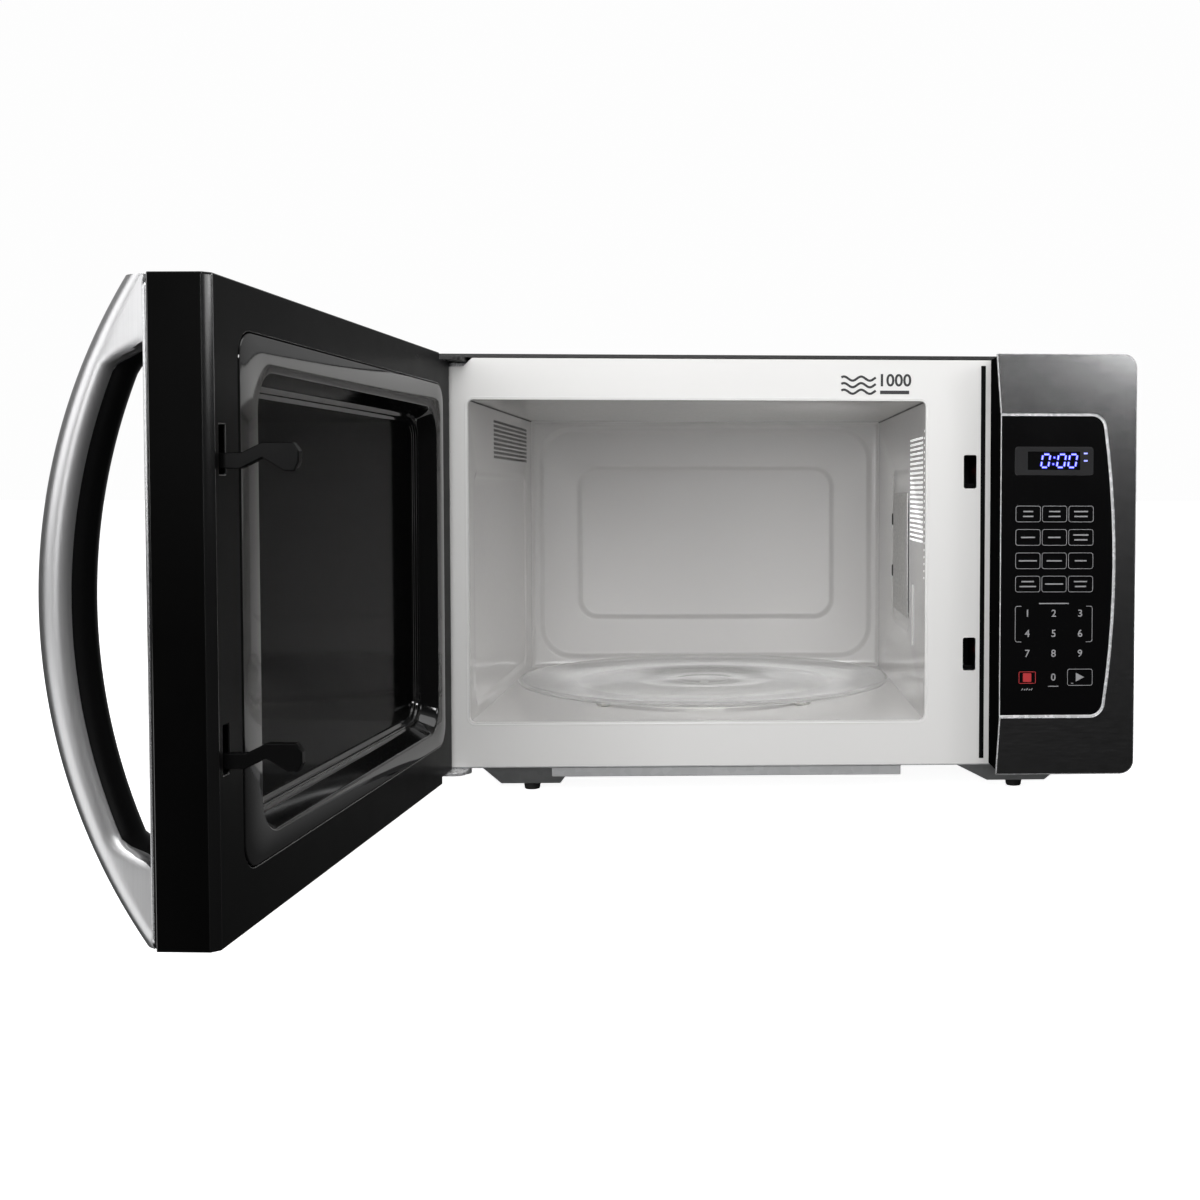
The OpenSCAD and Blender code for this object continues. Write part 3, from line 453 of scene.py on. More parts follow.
# a darker copy of the cavity paint for the back wall: painted shade, the back wall being the same enamel as the
# other walls
BACK_SHADED_PAINT = painted("back_shaded_paint", (0.655, 0.647, 0.64), 0.16, 0.001, **CAVITY_COAT)
SCREEN = screen()
FILM = moulded("window_film", (0.003, 0.003, 0.0031), 0.08, 0.001, Specular_IOR_Level=0.04,
               Alpha=0.72)
DARK_SEAM = moulded("seam_sealant", (0.03, 0.03, 0.03), 0.6)
PRINT_DARK = moulded("face_print", (0.02, 0.02, 0.022), 0.4)
PRINT_LIGHT = moulded("keypad_print", (0.27, 0.27, 0.28), 0.5)
PRINT_RED = moulded("stop_print", (0.42, 0.02, 0.025), 0.5)
DIGIT_LIGHT = glowing("display_light", (0.02, 0.02, 0.75), 1.0)
DIGIT_CORE = glowing("display_core", (0.30, 0.33, 1.0), 1.1)
# glowing discs in the lamp vent are painted light from the lamp behind the wall; the dark vent discs are painted
# shade in the holes
VENT_LIGHT = glowing("lamp_light", (0.9, 0.9, 0.9), 0.6)
VENT_DARK = moulded("vent_shadow", (0.11, 0.11, 0.112), 0.6)

# ---- Pieces ----------------------------------------------------------------

SMOOTH_BELOW = math.radians(38)
SOFTEN_ABOVE = math.radians(40)


def rounded(x, z, r, steps=7):
    """Points round a rectangle with round corners, given by its two limits along each axis."""
    points = []
    (left, right), (low, high) = shrunk(x, r), shrunk(z, r)
    for cx, cz, start in ((left, low, 180), (right, low, 270), (right, high, 0), (left, high, 90)):
        for i in range(steps + 1):
            a = math.radians(start + 90 * i / steps)
            points.append((cx + r * math.cos(a), cz + r * math.sin(a)))
    return points


def standing(outline, depth):
    """An outline in the first and third axes, at a place along the second."""
    return [(a, depth, b) for a, b in outline]


class Shape:
    """Faces gathered in one of the two sets of millimetres, then made into a piece of the model."""

    def __init__(self, at=oven):
        self.bm = bmesh.new()
        self.at = at

    def ring(self, points):
        return [self.bm.verts.new(self.at(*p)) for p in points]

    def loft(self, rings, closed=True, first_cap=False, last_cap=False):
        """Quads between rings that have the same number of points, with a flat end where asked."""
        made = [self.ring(r) for r in rings]
        count = len(made[0])
        for a, b in zip(made, made[1:]):
            for i in range(count if closed else count - 1):
                j = (i + 1) % count
                self.bm.faces.new((a[i], a[j], b[j], b[i]))
        if first_cap:
            self.bm.faces.new(made[0])
        if last_cap:
            self.bm.faces.new(made[-1])
        return self

    def plate(self, outline, y, hole=None):
        """Plate standing on the outline with its two faces at y, with a hole if given."""
        if hole is None:
            return self.loft([standing(outline, d) for d in y], first_cap=True, last_cap=True)
        rings = [standing(outline, y[0]), standing(hole, y[0]), standing(hole, y[1]),
                 standing(outline, y[1])]
        return self.loft(rings + rings[:1])

    def finish(self, name, body, slot, finish=None, replaces=(), thickness=0.0, facing=None):
        """The piece, riding on a body; an open sheet is turned to face a way and thickened."""
        bmesh.ops.remove_doubles(self.bm, verts=self.bm.verts, dist=1e-7)
        bmesh.ops.recalc_face_normals(self.bm, faces=self.bm.faces)
        if facing is not None:
            outward = sum((f.normal * f.calc_area() for f in self.bm.faces), Vector())
            if outward.dot(facing) < 0:
                bmesh.ops.reverse_faces(self.bm, faces=self.bm.faces)
        for edge in self.bm.edges:
            edge.smooth = len(edge.link_faces) == 2 and edge.calc_face_angle(0) < SMOOTH_BELOW
        for f in self.bm.faces:
            f.smooth = True
        mesh = bpy.data.meshes.new(name)
        self.bm.to_mesh(mesh)
        self.bm.free()
        thing = bpy.data.objects.new(name, mesh)
        bpy.context.scene.collection.objects.link(thing)
        mesh.materials.append((finish or FINISHES[slot]).material)
        if thickness:
            sheet = thing.modifiers.new("thickness", "SOLIDIFY")
            sheet.thickness, sheet.offset = thickness * MM, -1
        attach(thing, body)
        if replaces:
            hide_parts(*replaces)
        return thing


def soften(thing, width, material):
    """Rounds a piece's edges by a width in millimetres, with even shading on its flats."""
    edge = thing.modifiers.new("edges", "BEVEL")
    edge.width, edge.segments, edge.limit_method = width * MM, 3, "ANGLE"
    edge.angle_limit, edge.material = SOFTEN_ABOVE, material
    normals = thing.modifiers.new("shading", "WEIGHTED_NORMAL")
    normals.weight, normals.keep_sharp = 60, True


def s_curve(steps):
    """Pairs from (0, 0) to (1, 1) along a smooth step."""
    return [(i / steps, (1 - math.cos(math.pi * i / steps)) / 2) for i in range(steps + 1)]


# CAD nodes keep their shape. Each takes its own finish or that of its slot, and those in EDGES
# have their edges rounded by so many millimetres.
SLOT_OF = {part["node"]: part["material_slot"] for part in frame["record"]["subparts"]}
EDGES = {
    "outer_cabinet": 0.6, "base_plate": 2.0, "rear_panel": 0.3, "rubber_feet": 0.8,
    "front_frame": 0.3, "upper_hinge_bracket": 0.4, "lower_hinge_bracket": 0.4,
    "control_bezel": 0.7, "keypad_trim": 0.25, "keypad_panel": 0.15, "display_window": 0.2,
    "control_housing": 0.8, "door_frame": 1.9, "door_front_trim": 0.6, "door_glass": 0.3,
    "latch_bar": 1.1, "cord_gland": 0.6, "cabinet_screws": 0.4, "roller_ring": 0.3,
    "drive_coupler": 0.6, "turntable_motor": 0.6, "waveguide": 0.4, "magnetron_yoke": 0.3,
    "magnetron_filter_box": 0.4, "transformer_core": 0.5, "transformer_windings": 1.5,
    "capacitor": 1.0, "fan_rotor": 0.3, "fan_motor": 0.6, "lamp_holder": 0.5,
    "interlock_bracket": 0.3, "door_switches": 0.3,
}
# the bezel's rounded edges take the painted-highlight copy of its stainless; the door frame's take a glossier
# black
EDGE_FINISH = {"door_frame": EDGE_GLOSS, "control_bezel": BEZEL_HIGHLIGHT_EDGE}
OWN_FINISH = {"base_plate": PRESSED_BASE, "control_housing": HOUSING, "latch_bar": HOOK_BLACK,
              "door_frame": DOOR_BLACK, "door_inner_film": FILM}


def dress_nodes():
    """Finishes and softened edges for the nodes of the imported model."""
    for name, thing in NODES.items():
        thing.data.materials.clear()
        thing.data.materials.append(OWN_FINISH.get(name, FINISHES[SLOT_OF[name]]).material)
        if name in EDGE_FINISH:
            thing.data.materials.append(EDGE_FINISH[name].material)
        if name in EDGES:
            weld = thing.modifiers.new("join", "WELD")
            weld.merge_threshold = 1e-6
            flat = thing.modifiers.new("flats", "DECIMATE")
            flat.decimate_type, flat.angle_limit = "DISSOLVE", math.radians(0.5)
            soften(thing, EDGES[name], material=1 if name in EDGE_FINISH else 0)


dress_nodes()

# ---- Cavity ----------------------------------------------------------------

HALF_W = (RIGHT_WALL[0].x - LEFT_WALL[1].x) / 2 / MM
FLOOR_Z = oven_box("cavity_floor")[1].z
CEILING_Z = oven_box("cavity_ceiling")[0].z
BACK_Y = oven_box("cavity_ceiling")[1].y
CAVITY_CORNER = 4.2
SHEET = 0.8
COVE = 3.2
# the back wall's two stamped steps: half width, heights, corner, and each step's width and depth
BACK_STEPS = ((161.5, (61.5, 286.5), 31, 6, 6), (125.5, (99, 249.5), 20, 6, 6.5))
PANEL_CORNER, PANEL_SLOPE, PANEL_DEEP = 16, 7, 1.3


def cavity_rim():
    """Rolled edge of the face round the cavity, a little proud of the face."""
    profile = [(2.6, 0.15), (2.2, -0.05), (1.7, -0.15), (1.1, -0.1), (0.5, 0.25), (0.1, 1.1),
               (-0.1, 3.2)]
    rings = []
    for out, y in profile:
        x, z = (-HALF_W - out, HALF_W + out), (FLOOR_Z - out, CEILING_Z + out)
        rings.append(standing(rounded(x, z, CAVITY_CORNER + out), y))
    Shape().loft(rings).finish("cavity_rim", "cabinet", "white_enamel")


def back_ring(half, z, r, y):
    """A rounded rectangle about the cavity's middle, standing at y."""
    return standing(rounded((-half, half), z, r, 10), y)


def cavity_back():
    """Deep-drawn back wall: coved edges and two smooth stamped steps."""
    rings = []
    for t, s in s_curve(5):
        inset = COVE * t
        rings.append(back_ring(HALF_W - 0.1 - inset, shrunk((FLOOR_Z, CEILING_Z), inset),
                               0.6 + 2 * t, BACK_Y - 4 + 4 * s))
    start = 0
    for half, z, r, wide, deep in BACK_STEPS:
        for t, s in s_curve(10):
            inset = wide * t
            rings.append(back_ring(half - inset, shrunk(z, inset), r - inset * 0.8,
                                   BACK_Y + start + deep * s))
        start += deep
    # the back wall takes the darker copy of the cavity paint, which is painted shade
    Shape().loft(rings, last_cap=True).finish(
        "cavity_back_panel", "cabinet", "grey_enamel", BACK_SHADED_PAINT, ["cavity_back"],
        thickness=SHEET, facing=Vector((0, -1, 0)))


def side_panel(name, node, side, panel_y, panel_z):
    """Cavity wall with one shallow stamped field, bounded by the limits given."""
    x = side * HALF_W
    rings = [[(x, a, b) for a, b in rounded((1, BACK_Y), (FLOOR_Z, CEILING_Z), 0.4)]]
    for t, s in s_curve(6):
        inset = PANEL_SLOPE * t
        field = rounded(shrunk(panel_y, inset), shrunk(panel_z, inset), PANEL_CORNER - inset)
        rings.append([(x + side * PANEL_DEEP * s, a, b) for a, b in field])
    Shape().loft(rings, last_cap=True).finish(
        name, "cabinet", "grey_enamel", replaces=[node], thickness=SHEET,
        facing=Vector((-side, 0, 0)))


def holes(shape, side, places_y, places_z, half_y, half_z, steps=8):
    """Rows of small rounded openings on a side wall, each a thin disc just off the sheet."""
    x, angles = side * HALF_W, [2 * math.pi * i / steps for i in range(steps)]
    for z in places_z:
        for y in places_y:
            outline = [(y + half_y * math.cos(a), z + half_z * math.sin(a)) for a in angles]
            shape.loft([[(x - side * 0.12, a, b) for a, b in outline],
                        [(x, a, b) for a, b in outline]], first_cap=True)


def cavity_vents():
    """Lamp vent and a line of small holes in the right wall, drawn as glowing discs of painted light from the lamp
    behind; steam vent in the left, drawn as dark discs of painted shade.
    """
    lamp, dark = Shape(), Shape()
    holes(lamp, 1, range(17, 92, 4), [186.5 + 3.72 * i for i in range(22)], 1.7, 0.95)
    holes(lamp, 1, [6.5], [160 + 5.2 * i for i in range(22)], 0.9, 1.0)
    lamp.finish("lamp_vent", "cabinet", "grey_enamel", VENT_LIGHT)
    holes(dark, -1, range(118, 306, 4), [252 + 3.6 * i for i in range(9)], 1.4, 1.25)
    dark.finish("side_vent", "cabinet", "grey_enamel", VENT_DARK)


def beads():
    """Raised beads beside the mica sheet, its two clips, and the dark seams of the ceiling."""
    bead = Shape()
    for y, z in ((207.5, (122, 238)), (70, (103, 151))):
        angles = [math.pi * i / 8 for i in range(9)]
        bead.loft([[(HALF_W - 1.1 * math.sin(a), y + 1.4 * math.cos(a), h) for a in angles]
                   for h in z], closed=False)
    bead.finish("wall_beads", "cabinet", "grey_enamel")
    clip = Shape()
    for z in (155, 200):
        clip.loft([[(HALF_W - d, y, h)
                    for y, h in rounded(shrunk((203.5, 209.5), d), shrunk((z - 6, z + 6), d), 1.2)]
                   for d in (0, 1.2, 1.6)], last_cap=True)
    clip.finish("mica_clips", "cabinet", "black_plastic", DARK_SEAM)
    seam = Shape()
    for side in (-1, 1):
        x = side * HALF_W
        seam.loft([[(x, y, CEILING_Z - 0.9), (x - side * 0.9, y, CEILING_Z), (x, y, CEILING_Z)]
                   for y in (1.5, BACK_Y - 3)], first_cap=True, last_cap=True)
    seam.finish("ceiling_seams", "cabinet", "grey_enamel", DARK_SEAM)


cavity_rim()
cavity_back()
side_panel("cavity_left_panel", "cavity_left_wall", -1, (24, 300), (60, 241))
side_panel("cavity_right_panel", "cavity_right_wall", 1, (96, 215), (108, 244))
cavity_vents()
beads()

# ---- Turntable -------------------------------------------------------------

TRAY_LO, TRAY_HI = oven_box("glass_tray")
TRAY_C = ((TRAY_LO.x + TRAY_HI.x) / 2, (TRAY_LO.y + TRAY_HI.y) / 2)
TRAY_R = (TRAY_HI.x - TRAY_LO.x) / 2
TRAY_DEEP, TRAY_SIDES = 7.4, 96
DRAWN_R = 156  # the radius that the outline below is drawn at
LUG_ANGLES = (30, 150, 270)


def tray():
    """Pressed glass tray: raised centre ring, flat floor, rising rim with a rolled edge."""
    base = TRAY_HI.z - TRAY_DEEP
    outline = [(0.01, 0), (20, 0), (21, -0.9), (25, -0.9), (26, 0), (104, 0), (105, -0.6),
               (109, -0.6), (110, 0), (131, 0), (140, 0.6), (149, 2.2), (154.6, 4.1),
               (155.7, 5.2), (DRAWN_R, 6.2), (155.5, 7.1), (154, TRAY_DEEP), (152.4, 7.1),
               (150.6, 6.3), (143, 4.9), (133, 4.1), (126, 4.0), (60, 4.0), (57, 4.5), (54, 4.0),
               (24, 4.0), (21, 4.7), (17, 4.9), (0.01, 4.9)]
    scale = TRAY_R / DRAWN_R
    angles = [2 * math.pi * k / TRAY_SIDES for k in range(TRAY_SIDES)]
    glass = Shape()
    glass.loft([[(TRAY_C[0] + r * scale * math.cos(a), TRAY_C[1] + r * scale * math.sin(a),
                  base + rise) for a in angles] for r, rise in outline],
               first_cap=True, last_cap=True)
    for a in LUG_ANGLES:
        c, s = math.cos(math.radians(a)), math.sin(math.radians(a))
        rings = []
        for rise, grow in ((0.2, 0.8), (-2.4, 0), (-3.3, -0.9)):
            lug = rounded((12.4 - grow, 20.6 + grow), (-2.8 - grow, 2.8 + grow), 2, 4)
            rings.append([(TRAY_C[0] + c * d - s * w, TRAY_C[1] + s * d + c * w, base + rise)
                          for d, w in lug])
        glass.loft(rings, first_cap=True, last_cap=True)
    pressed = glass.finish("tray_glass", "tray", "glass_clear", replaces=["glass_tray"])
    pressed.visible_shadow = False


tray()

# ---- Face marks and slots --------------------------------------------------

PRINT_Y = (-0.16, 0.02)
DIGIT_RATIO = 0.69  # height of a numeral over the size of its font


def stroke(shape, points, width, y):
    """Flat line of a given width through points in X and Z."""
    half = width / 2
    sides = ([], [])
    for i, (x, z) in enumerate(points):
        (x0, z0), (x1, z1) = points[max(i - 1, 0)], points[min(i + 1, len(points) - 1)]
        length = math.hypot(x1 - x0, z1 - z0)
        nx, nz = -(z1 - z0) / length * half, (x1 - x0) / length * half
        sides[0].append((x + nx, z + nz))
        sides[1].append((x - nx, z - nz))
    shape.plate(sides[0] + sides[1][::-1], y)


def lettering(shape, text, x, z, height, y, bold=0.016):
    """Numerals centred at a place on a plane of constant Y."""
    curve = bpy.data.curves.new("numerals", "FONT")
    curve.body, curve.size, curve.offset = text, height / DIGIT_RATIO, height * bold
    curve.align_x, curve.align_y, curve.resolution_u = "CENTER", "CENTER", 4
    holder = bpy.data.objects.new("numerals", curve)
    bpy.context.scene.collection.objects.link(holder)
    solved = holder.evaluated_get(bpy.context.evaluated_depsgraph_get())
    mesh = bpy.data.meshes.new_from_object(solved)
    flat = bmesh.new()
    flat.from_mesh(mesh)
    bmesh.ops.solidify(flat, geom=flat.faces[:], thickness=y[1] - y[0])
    levels = sorted(v.co.z for v in flat.verts)
    for v in flat.verts:
        near = abs(v.co.z - levels[0]) < abs(v.co.z - levels[-1])
        v.co = shape.at(x + v.co.x, y[0] if near else y[1], z + v.co.y)
    flat.to_mesh(mesh)
    flat.free()
    shape.bm.from_mesh(mesh)
    bpy.data.objects.remove(holder)
    bpy.data.meshes.remove(mesh)
    bpy.data.curves.remove(curve)


def face_marks():
    """Generic wave mark and the number on the face, with a plain line under it."""
    mark = Shape()
    for z in (297.6, 302.4, 307.2):
        stroke(mark, [(104.9 + 25.4 * i / 32, z + 1.5 * math.sin(4 * math.pi * i / 32 + 0.6))
                      for i in range(33)], 1.7, PRINT_Y)
    lettering(mark, "1000", 144.2, 305.6, 8.6, PRINT_Y, 0.03)
    stroke(mark, [(133.5, 297.2), (155, 297.2)], 2.6, PRINT_Y)
    mark.finish("face_print", "cabinet", "white_enamel", PRINT_DARK)


def slot_shade_linings():
    """Black sheets lining the latch slots and the slot beside the control panel: painted shade for the dark inside
    of the slots.
    """
    lining = Shape()
    for z in ((91.6, 116.1), (226.6, 251.4)):
        slot = rounded(shrunk((195.8, 205.3), -0.2), shrunk(z, -0.2), 1.5)
        lining.loft([standing(slot, y) for y in (1.1, 36)], last_cap=True)
    lining.plate(rounded((208.3, 211.8), (26, 317), 0.3), (0.25, 0.95))
    lining.finish("slot_shade_linings", "cabinet", "black_plastic")


face_marks()
slot_shade_linings()

# ---- Control panel ---------------------------------------------------------

COLUMNS = (235.35, 254.3, 273.35)
KEY_W = 17.9
KEY_ROWS = (208.5, 191.8, 175.1, 158.5)
KEY_H = 11.6
KEYS_Y = oven_box("keypad_panel")[0].y
MARK_Y = (KEYS_Y - 0.14, KEYS_Y + 0.02)
DIGIT_H, DIGIT_ROWS = 5.0, (137.3, 122.9, 108.6)
# the lengths of the two bars on each key, with 0 where a key has only one
BARS = (7, 7.5, 8, 8.5, 10, 9.5, 0, 10, 0, 9, 11, 9.5, 0, 13, 0, 11, 0, 8.5, 9, 12, 0, 13, 9.5, 8)


def frame_line(shape, x, z, r, width):
    """Thin line round a rectangle with round corners."""
    inner = rounded(shrunk(x, width), shrunk(z, width), r - width, 5)
    shape.plate(rounded(x, z, r, 5), MARK_Y, inner)


def keypad():
    """Printed key frames, numerals and plain marks in place of words."""
    light = Shape()
    bars = iter(BARS)
    for zc in KEY_ROWS:
        for xc in COLUMNS:
            frame_line(light, (xc - KEY_W / 2, xc + KEY_W / 2),
                       (zc - KEY_H / 2, zc + KEY_H / 2), 1.8, 0.34)
            lengths = [w for w in (next(bars), next(bars)) if w]
            for i, length in enumerate(lengths):
                z = zc + (0 if len(lengths) == 1 else 1.75 - 3.5 * i)
                stroke(light, [(xc - length / 2, z), (xc + length / 2, z)], 0.95, MARK_Y)
    stroke(light, [(243.5, 144.6), (265, 144.6)], 0.8, MARK_Y)
    for side, x in ((1, 226.6), (-1, 282.0)):
        high, low, bend = 142.6, 117.1, 1.5
        bracket = [(4.4, high), (bend, high)]
        for a in map(math.radians, (30, 60, 90)):
            bracket.append((bend - bend * math.sin(a), high - bend + bend * math.cos(a)))
        for a in map(math.radians, (0, 30, 60)):
            bracket.append((bend - bend * math.cos(a), low + bend - bend * math.sin(a)))
        bracket += [(bend, low), (4.4, low)]
        stroke(light, [(x + side * out, z) for out, z in bracket], 0.4, MARK_Y)
    for n in range(9):
        lettering(light, str(n + 1), COLUMNS[n % 3], DIGIT_ROWS[n // 3], DIGIT_H, MARK_Y)
    lettering(light, "0", COLUMNS[1], 91.5, DIGIT_H, MARK_Y)
    stroke(light, [(250.5, 85.2), (258, 85.2)], 0.6, MARK_Y)
    frame_line(light, (264.4, 282.6), (85.6, 97.6), 1.6, 0.34)
    light.plate([(270.6, 88.6), (276.6, 91.7), (270.6, 94.8)], MARK_Y)
    stroke(light, [(267.2, 87.3), (268.8, 87.3)], 0.5, MARK_Y)
    for i in range(5):
        x = 231.5 + 1.7 * i
        stroke(light, [(x, 82.4), (x + 1, 83.8 - 0.5 * (i % 2))], 0.6, MARK_Y)
    light.finish("keypad_print", "cabinet", "keypad_black", PRINT_LIGHT)
    red = Shape()
    red.plate(rounded((232.4, 238.4), (88.4, 94.6), 0.6, 3), MARK_Y)
    frame_line(red, (229.4, 241.6), (87.2, 95.8), 0.9, 0.4)
    red.finish("stop_mark", "cabinet", "keypad_black", PRINT_RED)


# the six lit segments of a nought, between corners counted across and up
SEGMENTS = (((0, 2), (1, 2)), ((1, 2), (1, 1)), ((1, 1), (1, 0)), ((0, 0), (1, 0)),
            ((0, 1), (0, 0)), ((0, 2), (0, 1)))
NOUGHTS_X, COLON_X, DIGIT_Z = (244.9, 256.2, 264.3), 253.4, 246.3
NOUGHT_W, NOUGHT_HALF, SLANT, SEGMENT_GAP = 5.3, 4.6, 0.17, 0.16


def display():
    """Dark display window with a lit clock: three slanted noughts, a colon and two bars."""
    glass_y = oven_box("display_window")[0].y
    window = Shape()
    window.plate(rounded((234.8, 272.4), (239.9, 252.9), 0.5, 3), (glass_y - 0.06, glass_y + 0.05))
    window.finish("display_screen", "cabinet", "keypad_black")
    for name, line, finish, y in (("display_halo", 1.75, DIGIT_LIGHT, 0.12),
                                  ("display_digits", 0.95, DIGIT_CORE, 0.17)):
        lit = Shape()
        layer, half = (glass_y - y, glass_y - 0.02), line / 2
        for x0 in NOUGHTS_X:
            for corners in SEGMENTS:
                (xs, zs), (xe, ze) = [
                    (x0 + x * NOUGHT_W + (z - 1) * NOUGHT_HALF * SLANT,
                     DIGIT_Z + (z - 1) * NOUGHT_HALF) for x, z in corners]
                dx, dz = (xe - xs) * SEGMENT_GAP, (ze - zs) * SEGMENT_GAP
                stroke(lit, [(xs + dx, zs + dz), (xe - dx, ze - dz)], line, layer)
        for dot in (-2.3, 2.3):
            x, z = COLON_X + dot * SLANT, DIGIT_Z + dot
            lit.plate(rounded((x - half, x + half), (z - half, z + half), 0.3, 2), layer)
        if name == "display_digits":
            for z in (246.4, 251.6):
                stroke(lit, [(275, z), (277.6, z)], 1.0, layer)
        lit.finish(name, "cabinet", "smoke", finish)


keypad()
display()

# ---- Door ------------------------------------------------------------------

COVER_U, COVER_Z = (16.5, 368.0), (45.0, 299.0)
FILM_V = -6.5
LIP_U, LIP_Z = (33.4, 347.4), (55.5, 283.0)
LIP_HEADROOM = 0.92


def choke_cover():
    """Glossy cover of the choke: rolled edge, flat band, and a stepped lip down to the window."""
    edge = [(0.0, 4.0, 14.0), (0.0, 8.9, 14.0), (0.25, 9.35, 13.8), (0.9, 9.5, 13.4)]
    rings = [standing(rounded(shrunk(COVER_U, i), shrunk(COVER_Z, i), r, 10), v)
             for i, v, r in edge]
    # inset along U, inset along Z, V and corner radius of each ring
    lip = [(0.0, 0.0, 9.5, 21.0), (0.5, 0.5, 9.35, 20.6), (1.0, 1.1, 8.7, 20.2),
           (1.3, 1.5, 7.8, 20.0), (3.2, 6.2, -1.8, 17.0), (3.6, 6.8, -2.6, 16.5),
           (4.4, 7.4, -3.0, 16.0), (6.4, 9.2, -3.1, 15.0), (6.9, 9.8, -3.4, 14.6),
           (7.2, 10.2, -4.6, 14.3), (7.8, 10.8, -5.0, 14.0), (9.4, 12.4, -5.1, 13.0),
           (9.9, 12.9, -5.4, 12.6), (10.1, 13.2, FILM_V + 0.02, 12.4)]
    for du, dz, v, r in lip:
        heights = (LIP_Z[0] + dz, LIP_Z[1] - dz * LIP_HEADROOM)
        rings.append(standing(rounded(shrunk(LIP_U, du), heights, r, 10), v))
    Shape(door).loft(rings).finish(
        "choke_cover_lip", "door", "black_plastic", GLOSS_COVER, ["door_choke_cover"],
        thickness=SHEET, facing=door(0, 1, 0) - door(0, 0, 0))


def window_screen():
    """Perforated part of the steel pan, just behind the film."""
    Shape(door).plate(rounded((27, 353), (49, 290), 20), (-8.95, -8.02)).finish(
        "window_screen", "door", "steel", SCREEN, ["door_pan"])


DOOR_FRONT_V = -21.5
BAR_U, BAR_Z = 383.4, 173.0
BAR_ARC, BAR_APEX = 278.1, -64.8
HALF_WIDE, HALF_DEEP = 12.95, 11.9
SHOULDER = 42  # angle of the section above which a root's top lies on the door
GRIP_FROM, GRIP_TURN, ROOT_TURN = -222, 258, 30
LINER_FROM, LINER_TO, LINER_REACH = 37, 137, 119
BAR_LOW, BAR_LONG, BAR_CUTS = 17.2, 303.6, 92


def bar_middle(z):
    """V of the middle of the handle's bar at a height."""
    return BAR_APEX + BAR_ARC - math.sqrt(BAR_ARC ** 2 - (z - BAR_Z) ** 2)


def rooted(z):
    """How far the bar has turned from free of the door, 0, to standing on it, 1."""
    t = min(max((abs(z - BAR_Z) - 106) / 14, 0), 1)
    return t * t * (3 - 2 * t)


def bar_point(angle, z, inset=0.0):
    """A point of the bar's oval section: 0 towards the free edge, 90 towards the door."""
    a = math.radians(angle)
    u, v = (HALF_WIDE - inset) * math.cos(a), bar_middle(z) + (HALF_DEEP - inset) * math.sin(a)
    if math.sin(a) > 0:
        reach = min(1, math.sin(a) / math.sin(math.radians(SHOULDER)))
        foot_v = bar_middle(z) + reach * (DOOR_FRONT_V - bar_middle(z))
        on_top = reach == 1 and abs(math.cos(a)) < math.cos(math.radians(SHOULDER + 0.5))
        foot_u = u if on_top else math.copysign(HALF_WIDE - inset, u)
        u, v = u + rooted(z) * (foot_u - u), v + rooted(z) * (foot_v - v)
    return (BAR_U + u, min(v, DOOR_FRONT_V - inset * 0.2), z)


def handle():
    """Bowed handle of oval section: stainless round the outside, dark liner towards the door."""
    heights = [BAR_LOW + BAR_LONG * i / BAR_CUTS for i in range(BAR_CUTS + 1)]
    grip = [[bar_point(GRIP_FROM + (GRIP_TURN + ROOT_TURN * rooted(z)) * i / 48, z)
             for i in range(49)] for z in heights]
    Shape(door).loft(grip, first_cap=True, last_cap=True).finish(
        "grip_shell", "door", "brushed_stainless", GRIP_STEEL, ["handle_grip"])
    liner = []
    for z in heights:
        if abs(z - BAR_Z) < LINER_REACH:
            start = LINER_FROM + ROOT_TURN * rooted(z)
            face = [bar_point(start + (LINER_TO - start) * i / 16, z, 0.12) for i in range(17)]
            liner.append(face + [(u, v - 1.5, h) for u, v, h in (face[-1], face[0])])
    Shape(door).loft(liner, first_cap=True, last_cap=True).finish(
        "grip_liner", "door", "black_plastic", None, ["handle_liner"])


def edge_strip():
    """Glossy rounded corner between the door's free edge and its inner face."""
    door_lo, door_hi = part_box("door_frame")
    rings = []
    for z in (door_lo.z / MM + 1.2, door_hi.z / MM - 1.2):
        corner = []
        for i in range(11):
            along, bulge = 3.5 * (i / 10), 0.15 * math.sin(math.pi * (i / 10))
            corner.append((395.0 + along + bulge, 9.0 - along + bulge, z))
        rings.append(corner + [(397.6, 5.4, z), (394.9, 8.1, z)])
    Shape(door).loft(rings, first_cap=True, last_cap=True).finish(
        "edge_gloss", "door", "black_plastic", EDGE_GLOSS)


choke_cover()
window_screen()
edge_strip()
handle()

# ---- Latch spring and hinge screws -----------------------------------------

SPRING_U, SPRING_V, SPRING_R, SPRING_TURNS, WIRE_R = 387.2, -4, 2.4, 8, 0.5


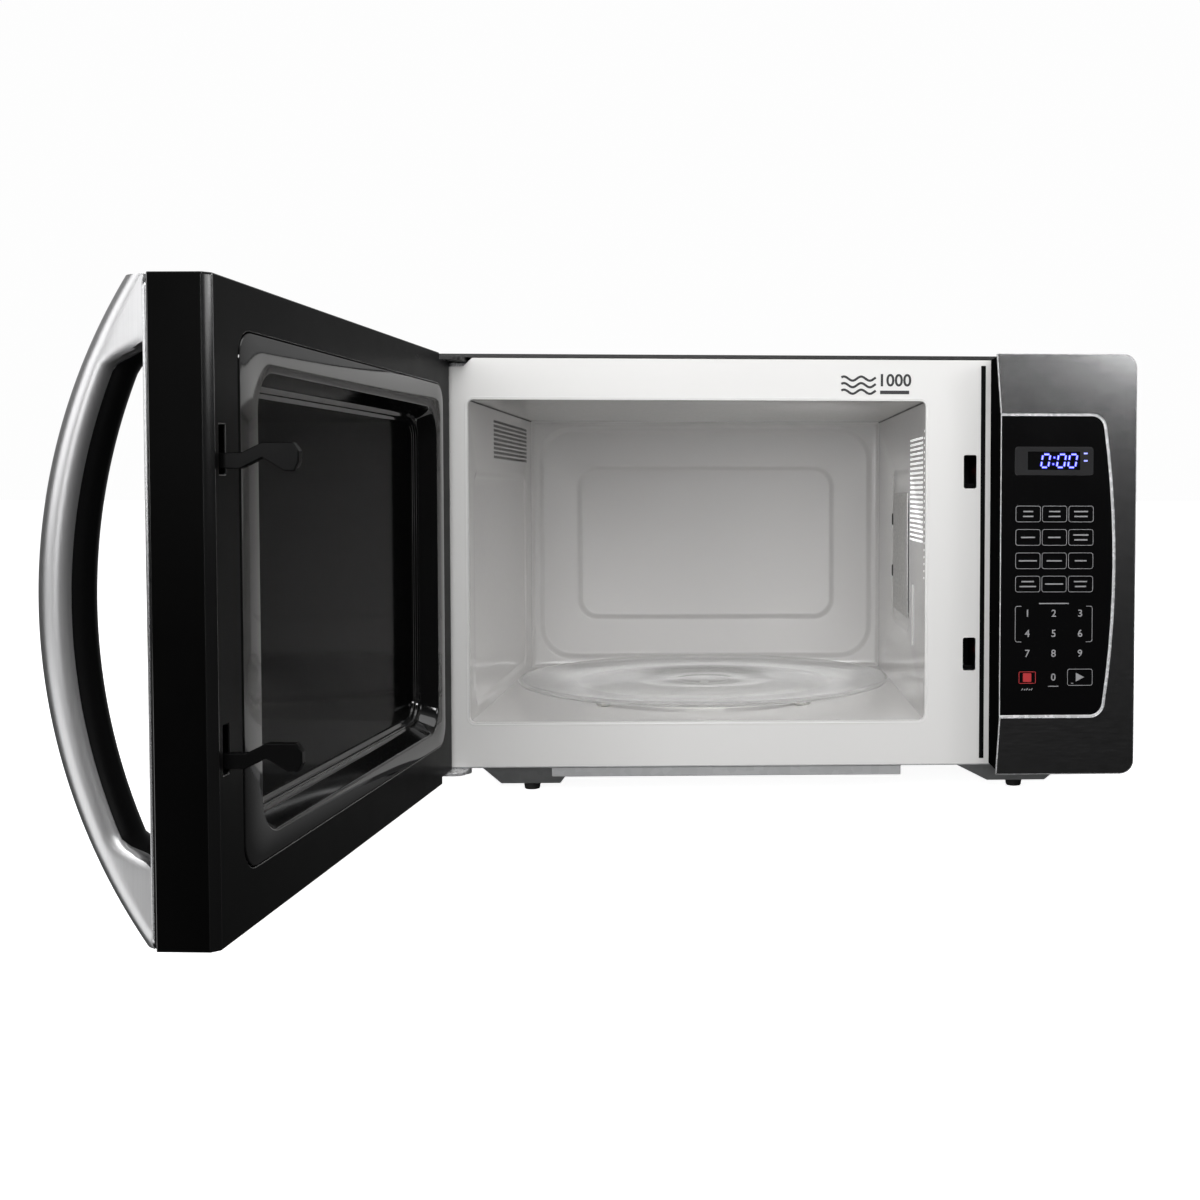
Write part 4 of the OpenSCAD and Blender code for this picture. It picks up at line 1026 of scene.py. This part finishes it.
def latch_spring():
    """Coil spring above the latch bar, drawn at one fixed length; it is not pressed together as the bar rises."""
    lo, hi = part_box("latch_spring")
    low_z, high_z = lo.z / MM, hi.z / MM
    rise, steps = high_z - low_z - 2 * WIRE_R, 16
    rings = []
    for i in range(SPRING_TURNS * steps + 1):
        a, z = 2 * math.pi * i / steps, low_z + WIRE_R + rise * i / (SPRING_TURNS * steps)
        wire = []
        for b in [2 * math.pi * k / 8 for k in range(8)]:
            r = SPRING_R + WIRE_R * math.cos(b)
            wire.append((SPRING_U + r * math.cos(a), SPRING_V + r * math.sin(a),
                         z + WIRE_R * math.sin(b)))
        rings.append(wire)
    coil = Shape(door).loft(rings, first_cap=True, last_cap=True).finish(
        "latch_coil", "door", "zinc", replaces=["latch_spring"])
    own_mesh(coil)


def hinge_screws():
    """Flanged screws with a knurled edge under each hinge plate."""
    lo, hi = oven_box("hinge_screws")
    x, y = (lo.x + hi.x) / 2, (lo.y + hi.y) / 2
    screws = Shape()
    teeth, long = 40, 5.5
    for z in (hi.z - long, lo.z):
        rings = []
        for h, r, tooth in ((0, 6.3, 0), (0.4, 6.8, 0.2), (2.4, 6.8, 0.2), (2.9, 6.3, 0),
                            (3.0, 2.0, 0), (5.4, 2.0, 0)):
            rings.append([(x + (r + tooth * (-1) ** k) * math.cos(math.pi * k / teeth),
                           y + (r + tooth * (-1) ** k) * math.sin(math.pi * k / teeth), z + h)
                          for k in range(2 * teeth)])
        screws.loft(rings, first_cap=True, last_cap=True)
    screws.finish("hinge_flange_screws", "cabinet", "zinc", replaces=["hinge_screws"])


latch_spring()
hinge_screws()

# ---- Floor -----------------------------------------------------------------

def floor():
    """Pale floor that shows no horizon and takes no part in shadows or reflections."""
    pale = Finish("studio_floor", (0.9, 0.9, 0.9), 0.6)
    pale.tones(pale.noise(3, 3), 0.995, 1.005)
    pale.put("Emission Color", (1, 1, 1, 1))
    pale.put("Emission Strength", 0.92)
    bm = bmesh.new()
    bmesh.ops.create_grid(bm, x_segments=8, y_segments=8, size=30)
    mesh = bpy.data.meshes.new("floor")
    bm.to_mesh(mesh)
    bm.free()
    ground = bpy.data.objects.new("floor", mesh)
    mesh.materials.append(pale.material)
    ground.visible_glossy = ground.visible_diffuse = ground.visible_shadow = False
    bpy.context.scene.collection.objects.link(ground)


floor()
